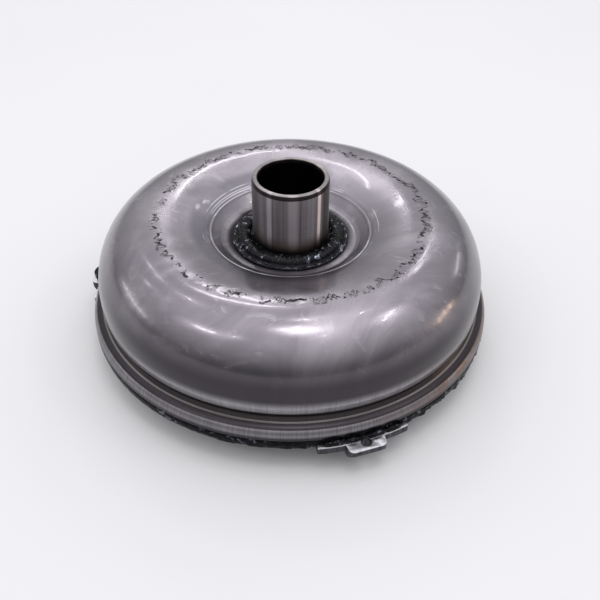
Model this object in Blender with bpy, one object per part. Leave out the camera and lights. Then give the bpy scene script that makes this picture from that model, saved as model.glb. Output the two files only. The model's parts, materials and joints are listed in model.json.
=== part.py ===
"""Automotive three-element torque converter with lock-up clutch.

Z is the shaft axis. The crank pilot's end face is z = 0 and the pump hub points up.
All lengths are in metres.
"""

import math

import bmesh
import bpy
from mathutils import Matrix, Vector

# Fineness of the turned surfaces
OUTER_SEGMENTS = 40
INNER_SEGMENTS = 30
HUB_SEGMENTS = 24

# Gaps between neighbours
SEAT_GAP = 0.0003
RUNNING_GAP = 0.0008

# Pump hub
HUB_TOP = 0.116
HUB_RADIUS = 0.0238
HUB_BORE = 0.0203
HUB_RIM_RADIUS = 0.0230
HUB_CHAMFER_HEIGHT = 0.0023
HUB_FLANGE_RADIUS = 0.0342
HUB_FLANGE_TOP = 0.0717
HUB_FLANGE_BOTTOM = 0.0660

# Impeller shell
SHELL_THICKNESS = 0.0030
SHELL_HOLE_RADIUS = 0.0345
FLOOR_Z = 0.0720
FLOOR_RADIUS = 0.0415
RING_RADIUS = 0.0499
RING_Z = 0.0785
CROWN_RADIUS = 0.0870
CROWN_Z = 0.0887
BULGE_RADIUS = 0.1230
BULGE_Z = 0.0485
GROOVE_RADIUS = 0.1206
GROOVE_Z = 0.0358
STEP_RADIUS = 0.1223
STEP_Z = 0.0333
RIM_RADIUS = 0.1289
RIM_Z = 0.0264
RIM_END_Z = 0.0249

# Front cover and crank pilot
COVER_FACE_Z = 0.0150
COVER_THICKNESS = 0.0030
COVER_RADIUS = 0.1249
COVER_CORNER = 0.0100
COVER_LIP_Z = 0.0272
PILOT_RADIUS = 0.02165

# Drive lugs
LUG_COUNT = 3
LUG_FIRST_ANGLE = math.radians(-70.3)
LUG_TOP = 0.0215
LUG_BOTTOM = 0.0135
LUG_INNER_RADIUS = 0.1160
LUG_LEDGE_RADIUS = 0.1318
LUG_HALF_ANGLE = math.radians(12.0)
LUG_BEVEL_RADIUS = 0.1285
LUG_BEVEL_TOP = 0.0165
LUG_TAB_ROOT = 0.1175
LUG_TAB_RADIUS = 0.1380
LUG_TAB_HALF_WIDTH = 0.0115
LUG_TAB_CORNER = 0.0035
LUG_TAB_STEP = 0.0004
LUG_HOLE_CIRCLE = 0.1328
LUG_HOLE_RADIUS = 0.0033
LUG_WELD_RADIUS = 0.1294
LUG_WELD_HALF_ANGLE = math.radians(11.5)

# Fluid circuit
SPLIT_Z = 0.0575
CORE_CENTRE_RADIUS = 0.0865
CORE_HALF_WIDTH = 0.0148
CORE_HALF_HEIGHT = 0.0110
CORE_THICKNESS = 0.0012
CORE_ARC = (150, 4, 4)
BLADE_THICKNESS = 0.0010
BLADE_GAP = 0.0011
IMPELLER_BLADES = 25
TURBINE_BLADES = 23
TURBINE_CENTRE_RADIUS = 0.0860
TURBINE_OUTER_REACH = 0.0302
TURBINE_INNER_REACH = 0.0340
TURBINE_DEPTH = 0.0250
TURBINE_SHELL_THICKNESS = 0.0016
TURBINE_FLANGE_RADIUS = 0.0580

# Turbine hub and its rivets
TURBINE_BORE = 0.0108
TURBINE_TOOTH_DEPTH = 0.0012
PISTON_SEAT_RADIUS = 0.0247
TURBINE_HUB_FLANGE_RADIUS = 0.0470
TURBINE_HUB_FLANGE_BOTTOM = 0.0368
TURBINE_HUB_FLANGE_TOP = 0.0406
RIVET_CIRCLE = 0.0400
RIVET_COUNT = 6
RIVET_RADIUS = 0.0022

# Lock-up clutch and damper
PISTON_Z = 0.0206
PISTON_THICKNESS = 0.0018
PISTON_RADIUS = 0.1150
LINING_INNER_RADIUS = 0.0960
LINING_OUTER_RADIUS = 0.1140
LINING_BOTTOM = 0.0191
RETAINER_Z = 0.0236
SPRING_COUNT = 6
SPRING_CIRCLE = 0.1050
SPRING_CENTRE_Z = 0.0300
SPRING_COIL_RADIUS = 0.0038
SPRING_WIRE_RADIUS = 0.0007
SPRING_HALF_ANGLE = math.radians(22.9)
SPRING_TURNS = 5
TAB_HALF_ANGLE = math.radians(6.5)

# Stator and one-way clutch
STATOR_BLADES = 13
STATOR_BOTTOM = 0.0490
STATOR_TOP = 0.0612
STATOR_HUB_BORE = 0.0416
STATOR_HUB_RADIUS = 0.0500
STATOR_SHROUD_INNER = 0.0676
STATOR_SHROUD_OUTER = 0.0702
CLUTCH_RACE_RADIUS = 0.0413
CLUTCH_RACE_BORE = 0.0306
CLUTCH_POCKET_DEPTH = 0.0030
ROLLER_COUNT = 6
ROLLER_RADIUS = 0.0031
ROLLER_CIRCLE = 0.0294
INNER_RACE_RADIUS = 0.0260
INNER_RACE_BORE = 0.0160
INNER_RACE_TOOTH_DEPTH = 0.0013
CLUTCH_BOTTOM = 0.0506
CLUTCH_TOP = 0.0594
PLATE_THICKNESS = 0.0016

# Colour, metallic value and roughness of each material
FINISHES = {
    "pressed_steel": ((0.33, 0.32, 0.34, 1.0), 1.0, 0.30),
    "ground_steel": ((0.42, 0.40, 0.40, 1.0), 1.0, 0.22),
    "burnt_weld": ((0.015, 0.015, 0.018, 1.0), 0.6, 0.30),
    "cover_steel": ((0.10, 0.10, 0.11, 1.0), 0.8, 0.45),
    "lug_steel": ((0.45, 0.45, 0.48, 1.0), 1.0, 0.35),
    "blade_steel": ((0.36, 0.36, 0.38, 1.0), 1.0, 0.40),
    "hub_steel": ((0.40, 0.39, 0.38, 1.0), 1.0, 0.30),
    "cast_aluminium": ((0.62, 0.62, 0.63, 1.0), 1.0, 0.50),
    "bearing_steel": ((0.50, 0.50, 0.51, 1.0), 1.0, 0.18),
    "spring_steel": ((0.20, 0.21, 0.24, 1.0), 1.0, 0.35),
    "friction_paper": ((0.13, 0.09, 0.06, 1.0), 0.0, 0.90),
    "seal_rubber": ((0.02, 0.02, 0.02, 1.0), 0.0, 0.60),
    "washer_bronze": ((0.55, 0.36, 0.18, 1.0), 1.0, 0.35),
}


def clear_scene():
    """Remove whatever the file opened with."""
    for thing in list(bpy.data.objects):
        bpy.data.objects.remove(thing, do_unlink=True)


def finish_material(name, finish):
    """One Principled material for one piece."""
    colour, metallic, roughness = FINISHES[finish]
    material = bpy.data.materials.new(name)
    material.use_nodes = True
    shader = material.node_tree.nodes["Principled BSDF"]
    shader.inputs["Base Color"].default_value = colour
    shader.inputs["Metallic"].default_value = metallic
    shader.inputs["Roughness"].default_value = roughness
    material.diffuse_color = colour
    return material


def add_group(name, parent=None):
    """An empty on the shaft axis that carries the pieces of one moving body."""
    empty = bpy.data.objects.new(name, None)
    empty.parent = parent
    bpy.context.collection.objects.link(empty)
    return empty


def face_outwards(bm):
    """Point every face of a closed bmesh outwards."""
    bmesh.ops.recalc_face_normals(bm, faces=bm.faces)
    if bm.calc_volume(signed=True) < 0:
        bmesh.ops.reverse_faces(bm, faces=bm.faces)


def add_piece(name, bm, finish, parent, sharp_angle=35.0):
    """Turn a closed bmesh into a named, smooth-shaded object with its own material."""
    face_outwards(bm)
    mesh = bpy.data.meshes.new(name)
    bm.to_mesh(mesh)
    bm.free()
    mesh.shade_smooth()
    mesh.set_sharp_from_angle(angle=math.radians(sharp_angle))
    mesh.materials.append(finish_material(name + "_finish", finish))
    piece = bpy.data.objects.new(name, mesh)
    piece.parent = parent
    bpy.context.collection.objects.link(piece)
    return piece


def add_cutter(name, bm):
    """A guide solid that shapes another piece and is not part of the object."""
    face_outwards(bm)
    mesh = bpy.data.meshes.new(name)
    bm.to_mesh(mesh)
    bm.free()
    cutter = bpy.data.objects.new(name, mesh)
    cutter.hide_render = True
    cutter.display_type = "WIRE"
    bpy.context.collection.objects.link(cutter)
    return cutter


def combine(piece, cutter, operation):
    """Add an exact Boolean to a piece."""
    boolean = piece.modifiers.new(cutter.name, "BOOLEAN")
    boolean.operation = operation
    boolean.solver = "EXACT"
    boolean.use_self = operation == "UNION"
    boolean.object = cutter


def turned(profile, segments):
    """Spin an outline of (radius, height) points round the shaft axis.

    The outline closes on itself, unless both its ends are on the axis.
    """
    bm = bmesh.new()
    points = [bm.verts.new((radius, 0.0, height)) for radius, height in profile]
    on_axis = profile[0][0] == 0 and profile[-1][0] == 0
    pairs = zip(points, points[1:] if on_axis else points[1:] + points[:1])
    edges = [bm.edges.new(pair) for pair in pairs]
    bmesh.ops.spin(bm, geom=points + edges, cent=(0, 0, 0), axis=(0, 0, 1),
                   angle=2 * math.pi, steps=segments, use_merge=True)
    bmesh.ops.remove_doubles(bm, verts=bm.verts, dist=1e-7)
    return bm


def washer(inner, outer, bottom, top, segments):
    """A flat ring."""
    return turned([(inner, bottom), (outer, bottom), (outer, top), (inner, top)], segments)


def prism(outline, bottom, top):
    """Extrude a closed flat outline of (x, y) points upwards."""
    bm = bmesh.new()
    face = bm.faces.new([bm.verts.new((x, y, bottom)) for x, y in outline])
    raised = bmesh.ops.extrude_face_region(bm, geom=[face])["geom"]
    tops = [v for v in raised if isinstance(v, bmesh.types.BMVert)]
    bmesh.ops.translate(bm, verts=tops, vec=(0, 0, top - bottom))
    return bm


def cylinder(radius, bottom, top, segments, centre=(0.0, 0.0)):
    """An upright rod."""
    outline = []
    for step in range(segments):
        angle = 2 * math.pi * step / segments
        outline.append((centre[0] + radius * math.cos(angle), centre[1] + radius * math.sin(angle)))
    return prism(outline, bottom, top)


def repeated(make, angles):
    """Copies of one bmesh turned about the shaft axis, in one bmesh."""
    whole = bmesh.new()
    for angle in angles:
        one = make()
        bmesh.ops.rotate(one, verts=one.verts, cent=(0, 0, 0), matrix=Matrix.Rotation(angle, 3, "Z"))
        mesh = bpy.data.meshes.new("copy")
        one.to_mesh(mesh)
        one.free()
        whole.from_mesh(mesh)
        bpy.data.meshes.remove(mesh)
    return whole


def even_angles(count, first=0.0):
    """Evenly spaced angles round the axis."""
    return [first + 2 * math.pi * step / count for step in range(count)]


def arc(centre, reach, start, end, steps):
    """Points on an ellipse arc; reach is its half width and half height, angles in degrees."""
    points = []
    for step in range(steps + 1):
        angle = math.radians(start + (end - start) * step / max(steps, 1))
        points.append((centre[0] + reach[0] * math.cos(angle), centre[1] + reach[1] * math.sin(angle)))
    return points


def sector(inner, outer, half_angle, steps):
    """Outline of a ring sector centred on +X."""
    span = [half_angle * (2 * step / steps - 1) for step in range(steps + 1)]
    far = [(outer * math.cos(a), outer * math.sin(a)) for a in span]
    near = [(inner * math.cos(a), inner * math.sin(a)) for a in reversed(span)]
    return far + near


def cut_spline(bm, bore, depth, segments):
    """Push every second pair of columns of a bore outwards, which leaves spline teeth."""
    for vert in bm.verts:
        radius = vert.co.xy.length
        column = round(math.atan2(vert.co.y, vert.co.x) / (2 * math.pi) * segments) % 4
        if abs(radius - bore) < 1e-6 and column in (2, 3):
            vert.co.xy *= (bore + depth) / bore


# Housing

def crown_arc(offset, inner_end, steps):
    """The dish side of the impeller shell, from a given radius out to the crown."""
    rise = CROWN_Z - RING_Z
    run = CROWN_RADIUS - RING_RADIUS
    radius = (run * run + rise * rise) / (2 * rise)
    centre = (CROWN_RADIUS, CROWN_Z - radius)
    reach = radius - offset
    start = 90 + math.degrees(math.asin((CROWN_RADIUS - inner_end) / reach))
    return arc(centre, (reach, reach), start, 90, steps)


def outer_arc(offset, end, steps):
    """The outer side of the impeller shell, from the crown down towards the bulge."""
    reach = (BULGE_RADIUS - CROWN_RADIUS - offset, CROWN_Z - BULGE_Z - offset)
    return arc((CROWN_RADIUS, BULGE_Z), reach, 90, end, steps)


def impeller_shell(parent):
    outside = [(SHELL_HOLE_RADIUS, FLOOR_Z), (FLOOR_RADIUS, FLOOR_Z), (0.0440, 0.0735)]
    outside += crown_arc(0.0, RING_RADIUS, 3)
    outside += outer_arc(0.0, 0, 6)[1:]
    outside += [(0.1221, 0.0400), (GROOVE_RADIUS, 0.0370), (GROOVE_RADIUS, GROOVE_Z), (STEP_RADIUS, STEP_Z)]
    outside += arc((STEP_RADIUS, RIM_Z), (RIM_RADIUS - STEP_RADIUS, STEP_Z - RIM_Z), 60, 0, 2)
    outside += [(RIM_RADIUS, RIM_END_Z)]
    inside = [(SHELL_HOLE_RADIUS, FLOOR_Z - SHELL_THICKNESS), (0.0435, FLOOR_Z - SHELL_THICKNESS)]
    inside += crown_arc(SHELL_THICKNESS, 0.0515, 3)
    inside += outer_arc(SHELL_THICKNESS, 0, 5)[1:]
    inside += [(0.1176, 0.0365), (0.1182, 0.0330), (0.1256, 0.0280), (0.1257, RIM_END_Z)]
    shell = turned(outside + inside[::-1], OUTER_SEGMENTS)
    add_piece("impeller_shell", shell, "pressed_steel", parent)


def impeller_hub(parent):
    shoulder = HUB_TOP - HUB_CHAMFER_HEIGHT
    profile = [(HUB_BORE, HUB_FLANGE_BOTTOM), (HUB_FLANGE_RADIUS, HUB_FLANGE_BOTTOM),
               (HUB_FLANGE_RADIUS, HUB_FLANGE_TOP), (HUB_RADIUS, HUB_FLANGE_TOP),
               (HUB_RADIUS, shoulder), (HUB_RIM_RADIUS, HUB_TOP), (HUB_BORE + 0.0004, HUB_TOP),
               (HUB_BORE, HUB_TOP - 0.0008)]
    add_piece("impeller_hub", turned(profile, HUB_SEGMENTS), "ground_steel", parent)


def hub_weld_bead(parent):
    foot = FLOOR_Z + SEAT_GAP
    inner = HUB_RADIUS + SEAT_GAP
    profile = [(inner, foot), (0.0366, foot), (0.0366, foot + 0.0009), (0.0347, foot + 0.0014),
               (0.0330, foot + 0.0034), (0.0295, foot + 0.0047), (0.0262, foot + 0.0036),
               (inner, foot + 0.0014)]
    add_piece("hub_weld_bead", turned(profile, HUB_SEGMENTS), "burnt_weld", parent)


def cover_corner(offset, steps):
    """The cover's outer corner, from the wall down to the flat face."""
    centre = (COVER_RADIUS - COVER_CORNER, COVER_FACE_Z + COVER_CORNER)
    reach = COVER_CORNER + offset
    return arc(centre, (reach, reach), 0, -90, steps)


def front_cover(parent):
    inner_face = COVER_FACE_Z + COVER_THICKNESS
    profile = [(0.0, inner_face)]
    profile += cover_corner(-COVER_THICKNESS, 3)[::-1]
    profile += [(COVER_RADIUS - COVER_THICKNESS, COVER_LIP_Z), (COVER_RADIUS, COVER_LIP_Z)]
    profile += cover_corner(0.0, 4)
    profile += [(0.0, COVER_FACE_Z)]
    add_piece("front_cover", turned(profile, OUTER_SEGMENTS), "cover_steel", parent)


def crank_pilot(parent):
    top = COVER_FACE_Z - SEAT_GAP
    profile = [(0.0, top), (PILOT_RADIUS + 0.002, top), (PILOT_RADIUS + 0.002, top - 0.002),
               (PILOT_RADIUS, top - 0.002), (PILOT_RADIUS, 0.0015), (PILOT_RADIUS - 0.0015, 0.0), (0.0, 0.0)]
    add_piece("crank_pilot", turned(profile, HUB_SEGMENTS), "ground_steel", parent)


def closure_weld_bead(parent):
    top = RIM_END_Z - SEAT_GAP
    profile = [(COVER_RADIUS + SEAT_GAP, top), (RIM_RADIUS - 0.0002, top), (RIM_RADIUS, 0.0220),
               (0.1283, 0.0185), (0.1268, 0.0172), (0.1238, 0.0192), (0.1249, 0.0220)]
    add_piece("closure_weld_bead", turned(profile, OUTER_SEGMENTS), "burnt_weld", parent)


def lug_tab(bottom, top):
    """The rounded tab of one lug on +X."""
    flat = LUG_TAB_HALF_WIDTH - LUG_TAB_CORNER
    tip = LUG_TAB_RADIUS - LUG_TAB_CORNER
    reach = (LUG_TAB_CORNER, LUG_TAB_CORNER)
    outline = [(LUG_TAB_ROOT, -LUG_TAB_HALF_WIDTH)] + arc((tip, -flat), reach, -90, 0, 3)
    outline += arc((tip, flat), reach, 0, 90, 3) + [(LUG_TAB_ROOT, LUG_TAB_HALF_WIDTH)]
    return prism(outline, bottom, top)


def lug_undercut():
    """Ring that bevels the underside of a lug's root towards its edge."""
    low = LUG_BOTTOM - 0.002
    far = LUG_TAB_RADIUS + 0.01
    return turned([(LUG_BEVEL_RADIUS, low), (far, low), (far, LUG_BEVEL_TOP),
                   (LUG_LEDGE_RADIUS + 0.0002, LUG_BEVEL_TOP), (LUG_BEVEL_RADIUS, LUG_BOTTOM)], OUTER_SEGMENTS)


def lug_nest():
    """Ring that clears the cover's corner and the closure weld from a lug."""
    inner = 0.1000
    profile = [(inner, 0.0400), (0.1293, 0.0400), (0.1293, 0.0186), (0.1276, 0.0165), (0.1248, 0.0168)]
    profile += cover_corner(0.0004, 6)[3:] + [(inner, COVER_FACE_Z - 0.0004)]
    return turned(profile, OUTER_SEGMENTS)


def drive_lugs(parent):
    undercut = add_cutter("lug_undercut", lug_undercut())
    nest = add_cutter("lug_nest", lug_nest())
    root = sector(LUG_INNER_RADIUS, LUG_LEDGE_RADIUS, LUG_HALF_ANGLE, 8)
    for number, angle in enumerate(even_angles(LUG_COUNT, LUG_FIRST_ANGLE), start=1):
        blank = prism(root, LUG_BOTTOM + LUG_TAB_STEP, LUG_TOP)
        lug = add_piece(f"drive_lug_{number}", blank, "lug_steel", parent, 50.0)
        lug.rotation_euler.z = angle
        combine(lug, undercut, "DIFFERENCE")
        tab = add_cutter(f"lug_tab_{number}", lug_tab(LUG_BOTTOM, LUG_TOP - LUG_TAB_STEP))
        tab.rotation_euler.z = angle
        combine(lug, tab, "UNION")
        combine(lug, nest, "DIFFERENCE")
        place = (LUG_HOLE_CIRCLE * math.cos(angle), LUG_HOLE_CIRCLE * math.sin(angle))
        drill = cylinder(LUG_HOLE_RADIUS, LUG_BOTTOM - 0.002, LUG_TOP + 0.002, 14, place)
        combine(lug, add_cutter(f"lug_drill_{number}", drill), "DIFFERENCE")


def lug_weld_bead():
    """A low rounded bead along the top of a lug's root, thin where it passes the bolt hole."""
    foot = LUG_TOP + SEAT_GAP
    section = [(0.0, 0.0), (0.0019, 0.0), (0.0017, 0.0012), (0.0010, 0.0020), (0.0002, 0.0022)]
    thin = 0.2
    bm = bmesh.new()
    rings = []
    steps = 10
    for step in range(steps + 1):
        angle = LUG_WELD_HALF_ANGLE * (2 * step / steps - 1)
        clear = (abs(math.degrees(angle)) - 2.0) / 4.0
        swell = (1.0 + 0.18 * math.cos(2 * math.pi * step / 2.5)) * min(1.0, max(thin, clear))
        ring = []
        for out, up in section:
            radius = LUG_WELD_RADIUS + out * swell
            ring.append(bm.verts.new((radius * math.cos(angle), radius * math.sin(angle), foot + up * swell)))
        rings.append(ring)
    for first, second in zip(rings, rings[1:]):
        for k in range(len(section)):
            after = (k + 1) % len(section)
            bm.faces.new((first[k], first[after], second[after], second[k]))
    bm.faces.new(rings[0])
    bm.faces.new(rings[-1])
    return bm


def lug_welds(parent):
    for number, angle in enumerate(even_angles(LUG_COUNT, LUG_FIRST_ANGLE), start=1):
        bead = add_piece(f"drive_lug_weld_{number}", lug_weld_bead(), "burnt_weld", parent, 60.0)
        bead.rotation_euler.z = angle


# Fluid circuit

def blade(outer_edge, inner_edge, sweep):
    """One curved sheet-metal blade between two matching edge curves."""
    bm = bmesh.new()
    rows = []
    last = len(outer_edge) - 1
    for step, (outer, inner) in enumerate(zip(outer_edge, inner_edge)):
        turn = sweep * (step / last) ** 2
        row = []
        for radius, height in (outer, inner):
            for side in (-0.5, 0.5):
                angle = turn + side * BLADE_THICKNESS / radius
                row.append(bm.verts.new((radius * math.cos(angle), radius * math.sin(angle), height)))
        rows.append(row)
    for a, b in zip(rows, rows[1:]):
        bm.faces.new((a[0], a[2], b[2], b[0]))
        bm.faces.new((a[1], b[1], b[3], a[3]))
        bm.faces.new((a[0], b[0], b[1], a[1]))
        bm.faces.new((a[2], a[3], b[3], b[2]))
    for row in (rows[0], rows[-1]):
        bm.faces.new((row[0], row[1], row[3], row[2]))
    face_outwards(bm)
    return bm


def core_ring(split, up, segments):
    """Half of the hollow core ring; up is 1 above the split plane and -1 below it."""
    centre = (CORE_CENTRE_RADIUS, split)
    wide = (CORE_HALF_WIDTH, up * CORE_HALF_HEIGHT)
    narrow = (CORE_HALF_WIDTH - CORE_THICKNESS, up * (CORE_HALF_HEIGHT - CORE_THICKNESS))
    outside = arc(centre, wide, 180, 180, 0) + arc(centre, wide, *CORE_ARC) + arc(centre, wide, 0, 0, 0)
    return turned(outside + arc(centre, narrow, 0, 180, 3), segments)


def blade_ring(name, parent, count, split, up, outer_edge, sweep):
    centre = (CORE_CENTRE_RADIUS, split)
    sunk = CORE_THICKNESS / 3
    reach = (CORE_HALF_WIDTH - sunk, up * (CORE_HALF_HEIGHT - sunk))
    inner_edge = arc(centre, reach, *CORE_ARC)
    ring = add_piece(name, core_ring(split, up, 2 * count), "blade_steel", parent)
    blades = repeated(lambda: blade(outer_edge, inner_edge, sweep), even_angles(count))
    combine(ring, add_cutter(name + "_blanks", blades), "UNION")


def impeller_blade_ring(parent):
    split = SPLIT_Z + RUNNING_GAP
    gap = SHELL_THICKNESS + BLADE_GAP
    edge = crown_arc(gap, 0.0545, 2) + outer_arc(gap, 15, 2)[1:]
    blade_ring("impeller_blade_ring", parent, IMPELLER_BLADES, split, 1, edge, math.radians(7))


def turbine_bowl(offset, steps_out, steps_in):
    """The turbine shell's curve, from its outer lip over the bottom to its inner flange."""
    centre = (TURBINE_CENTRE_RADIUS, SPLIT_Z - RUNNING_GAP)
    outer = arc(centre, (TURBINE_OUTER_REACH + offset, TURBINE_DEPTH + offset), 0, -90, steps_out)
    inner_reach = (TURBINE_INNER_REACH + offset, TURBINE_DEPTH + offset)
    end = -180 + math.degrees(math.acos((TURBINE_CENTRE_RADIUS - TURBINE_FLANGE_RADIUS) / inner_reach[0]))
    return outer + arc(centre, inner_reach, -90, end, steps_in)[1:]


def turbine_blade_ring(parent):
    split = SPLIT_Z - RUNNING_GAP
    edge = turbine_bowl(-BLADE_GAP, 2, 2)[::-1]
    edge[-1] = (edge[-1][0], split)
    blade_ring("turbine_blade_ring", parent, TURBINE_BLADES, split, -1, edge, math.radians(-16))


def rivet_drills(name, bottom, top):
    """Cutters for the ring of rivet holes."""
    def drill():
        return cylinder(RIVET_RADIUS + SEAT_GAP, bottom, top, 10, (RIVET_CIRCLE, 0.0))

    return add_cutter(name, repeated(drill, even_angles(RIVET_COUNT)))


def turbine_shell(parent):
    upper = turbine_bowl(0.0, 5, 2)
    lower = turbine_bowl(TURBINE_SHELL_THICKNESS, 5, 2)
    flange = upper[-1][1]
    bore = 0.0318
    profile = upper + [(bore, flange), (bore, flange - TURBINE_SHELL_THICKNESS)]
    profile += [(TURBINE_FLANGE_RADIUS - 0.001, flange - TURBINE_SHELL_THICKNESS)] + lower[:-1][::-1]
    shell = add_piece("turbine_shell", turned(profile, OUTER_SEGMENTS), "pressed_steel", parent)
    combine(shell, rivet_drills("turbine_shell_drills", 0.036, 0.048), "DIFFERENCE")


def turbine_hub(parent):
    segments = 32
    seat = PISTON_SEAT_RADIUS
    profile = [(TURBINE_BORE, 0.0204), (seat - 0.0007, 0.0204), (seat, 0.0211), (seat, 0.0223),
               (seat - 0.0018, 0.0223), (seat - 0.0018, 0.0245), (seat, 0.0245), (seat, 0.0282),
               (0.0215, 0.0300), (0.0215, TURBINE_HUB_FLANGE_BOTTOM),
               (TURBINE_HUB_FLANGE_RADIUS, TURBINE_HUB_FLANGE_BOTTOM),
               (TURBINE_HUB_FLANGE_RADIUS, TURBINE_HUB_FLANGE_TOP), (0.0305, TURBINE_HUB_FLANGE_TOP),
               (0.0305, 0.0450), (TURBINE_BORE, 0.0450)]
    bm = turned(profile, segments)
    cut_spline(bm, TURBINE_BORE, TURBINE_TOOTH_DEPTH, segments)
    hub = add_piece("turbine_hub", bm, "hub_steel", parent)
    combine(hub, rivet_drills("turbine_hub_drills", 0.034, 0.044), "DIFFERENCE")


def turbine_flange_z():
    """Height of the turbine shell's flat inner flange, its upper side."""
    return turbine_bowl(0.0, 1, 1)[-1][1]


def turbine_rivets(parent):
    top = turbine_flange_z() + SEAT_GAP
    bottom = TURBINE_HUB_FLANGE_BOTTOM - 0.0028 - 0.0003
    head = RIVET_RADIUS + 0.0014
    for number, angle in enumerate(even_angles(RIVET_COUNT), start=1):
        profile = [(0.0, bottom - 0.0014), (head - 0.0008, bottom - 0.0014), (head, bottom),
                   (RIVET_RADIUS, bottom), (RIVET_RADIUS, top), (head, top),
                   (head - 0.0008, top + 0.0014), (0.0, top + 0.0014)]
        rivet = add_piece(f"turbine_rivet_{number}", turned(profile, 10), "hub_steel", parent)
        rivet.location = (RIVET_CIRCLE * math.cos(angle), RIVET_CIRCLE * math.sin(angle), 0)


# Lock-up clutch and torsion damper

def damper_drive_plate(parent):
    top = TURBINE_HUB_FLANGE_BOTTOM - SEAT_GAP
    low = 0.0290
    sheet = 0.0022
    profile = [(0.0318, top), (0.0480, top), (0.0600, low), (0.0960, low), (0.0960, low - sheet),
               (0.0590, low - sheet), (0.0470, top - sheet), (0.0318, top - sheet)]
    plate = add_piece("damper_drive_plate", turned(profile, INNER_SEGMENTS), "blade_steel", parent)

    def finger():
        return prism(sector(0.0950, 0.1040, TAB_HALF_ANGLE, 3), low - sheet + 0.0003, low - 0.0003)

    gaps = even_angles(SPRING_COUNT, math.pi / SPRING_COUNT)
    combine(plate, add_cutter("drive_plate_fingers", repeated(finger, gaps)), "UNION")
    combine(plate, rivet_drills("drive_plate_drills", 0.030, 0.040), "DIFFERENCE")


def spring_retainer(parent):
    floor = RETAINER_Z
    sheet = 0.0012
    wall = 0.1112
    profile = [(0.0720, floor), (wall + sheet, floor), (wall + sheet, 0.0345), (0.1098, 0.0358),
               (0.1092, 0.0348), (wall, 0.0338), (wall, floor + sheet), (0.0720, floor + sheet)]
    retainer = add_piece("spring_retainer", turned(profile, INNER_SEGMENTS), "blade_steel", parent)

    def tab():
        return prism(sector(0.1060, wall + sheet / 2, TAB_HALF_ANGLE, 3), floor + sheet / 2, 0.0328)

    gaps = even_angles(SPRING_COUNT, math.pi / SPRING_COUNT)
    combine(retainer, add_cutter("retainer_tabs", repeated(tab, gaps)), "UNION")


def damper_spring():
    """A helical spring bent round the shaft axis, centred on +X."""
    bm = bmesh.new()
    steps = SPRING_TURNS * 7
    sides = 4
    rings = []
    for step in range(steps + 1):
        share = step / steps
        bend = SPRING_HALF_ANGLE * (2 * share - 1)
        wind = 2 * math.pi * SPRING_TURNS * share
        outward = Vector((math.cos(bend), math.sin(bend), 0))
        along = Vector((-math.sin(bend), math.cos(bend), 0))
        spoke = outward * math.cos(wind) + Vector((0, 0, 1)) * math.sin(wind)
        centre = outward * SPRING_CIRCLE + Vector((0, 0, SPRING_CENTRE_Z)) + spoke * SPRING_COIL_RADIUS
        ring = []
        for side in range(sides):
            angle = 2 * math.pi * side / sides
            offset = (spoke * math.cos(angle) + along * math.sin(angle)) * SPRING_WIRE_RADIUS
            ring.append(bm.verts.new(centre + offset))
        rings.append(ring)
    for first, second in zip(rings, rings[1:]):
        for side in range(sides):
            after = (side + 1) % sides
            bm.faces.new((first[side], first[after], second[after], second[side]))
    bm.faces.new(rings[0])
    bm.faces.new(rings[-1])
    return bm


def damper_springs(parent):
    for number, angle in enumerate(even_angles(SPRING_COUNT), start=1):
        spring = add_piece(f"damper_spring_{number}", damper_spring(), "spring_steel", parent, 60.0)
        spring.rotation_euler.z = angle


def lockup_piston(parent):
    bore = PISTON_SEAT_RADIUS + SEAT_GAP
    top = PISTON_Z + PISTON_THICKNESS
    profile = [(bore, PISTON_Z), (PISTON_RADIUS, PISTON_Z), (PISTON_RADIUS, 0.0262),
               (PISTON_RADIUS - 0.0016, 0.0262), (PISTON_RADIUS - 0.0016, top), (bore + 0.0022, top),
               (bore + 0.0016, 0.0272), (bore, 0.0272)]
    add_piece("lockup_piston", turned(profile, INNER_SEGMENTS), "blade_steel", parent)


def friction_lining(parent):
    top = PISTON_Z - SEAT_GAP
    ring = washer(LINING_INNER_RADIUS, LINING_OUTER_RADIUS, LINING_BOTTOM, top, INNER_SEGMENTS)
    add_piece("friction_lining", ring, "friction_paper", parent)


def piston_seal_ring(parent):
    centre = (PISTON_SEAT_RADIUS - 0.00085, 0.0234)
    section = arc(centre, (0.00065, 0.0008), 0, 288, 4)
    add_piece("piston_seal_ring", turned(section, HUB_SEGMENTS), "seal_rubber", parent, 80.0)


# Stator and one-way clutch

def stator_blade():
    """A cambered, tapering vane from the stator hub to its shroud."""
    bm = bmesh.new()
    middle = (STATOR_BOTTOM + STATOR_TOP) / 2
    chord = STATOR_TOP - STATOR_BOTTOM - 0.0010
    stations = [(0.0, 0.0), (0.15, 0.9), (0.45, 1.0), (0.75, 0.55), (1.0, 0.0), (0.75, -0.05),
                (0.45, -0.25), (0.15, -0.45)]
    loops = []
    for radius in (STATOR_HUB_RADIUS - 0.0012, STATOR_SHROUD_INNER + 0.0012):
        loop = []
        for share, half in stations:
            lean = 0.0085 * share * share
            across = lean + half * 0.0022
            angle = across / radius
            height = middle - chord / 2 + share * chord
            loop.append(bm.verts.new((radius * math.cos(angle), radius * math.sin(angle), height)))
        loops.append(loop)
    for k in range(len(stations)):
        after = (k + 1) % len(stations)
        bm.faces.new((loops[0][k], loops[0][after], loops[1][after], loops[1][k]))
    bm.faces.new(loops[0])
    bm.faces.new(loops[1])
    face_outwards(bm)
    return bm


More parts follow.
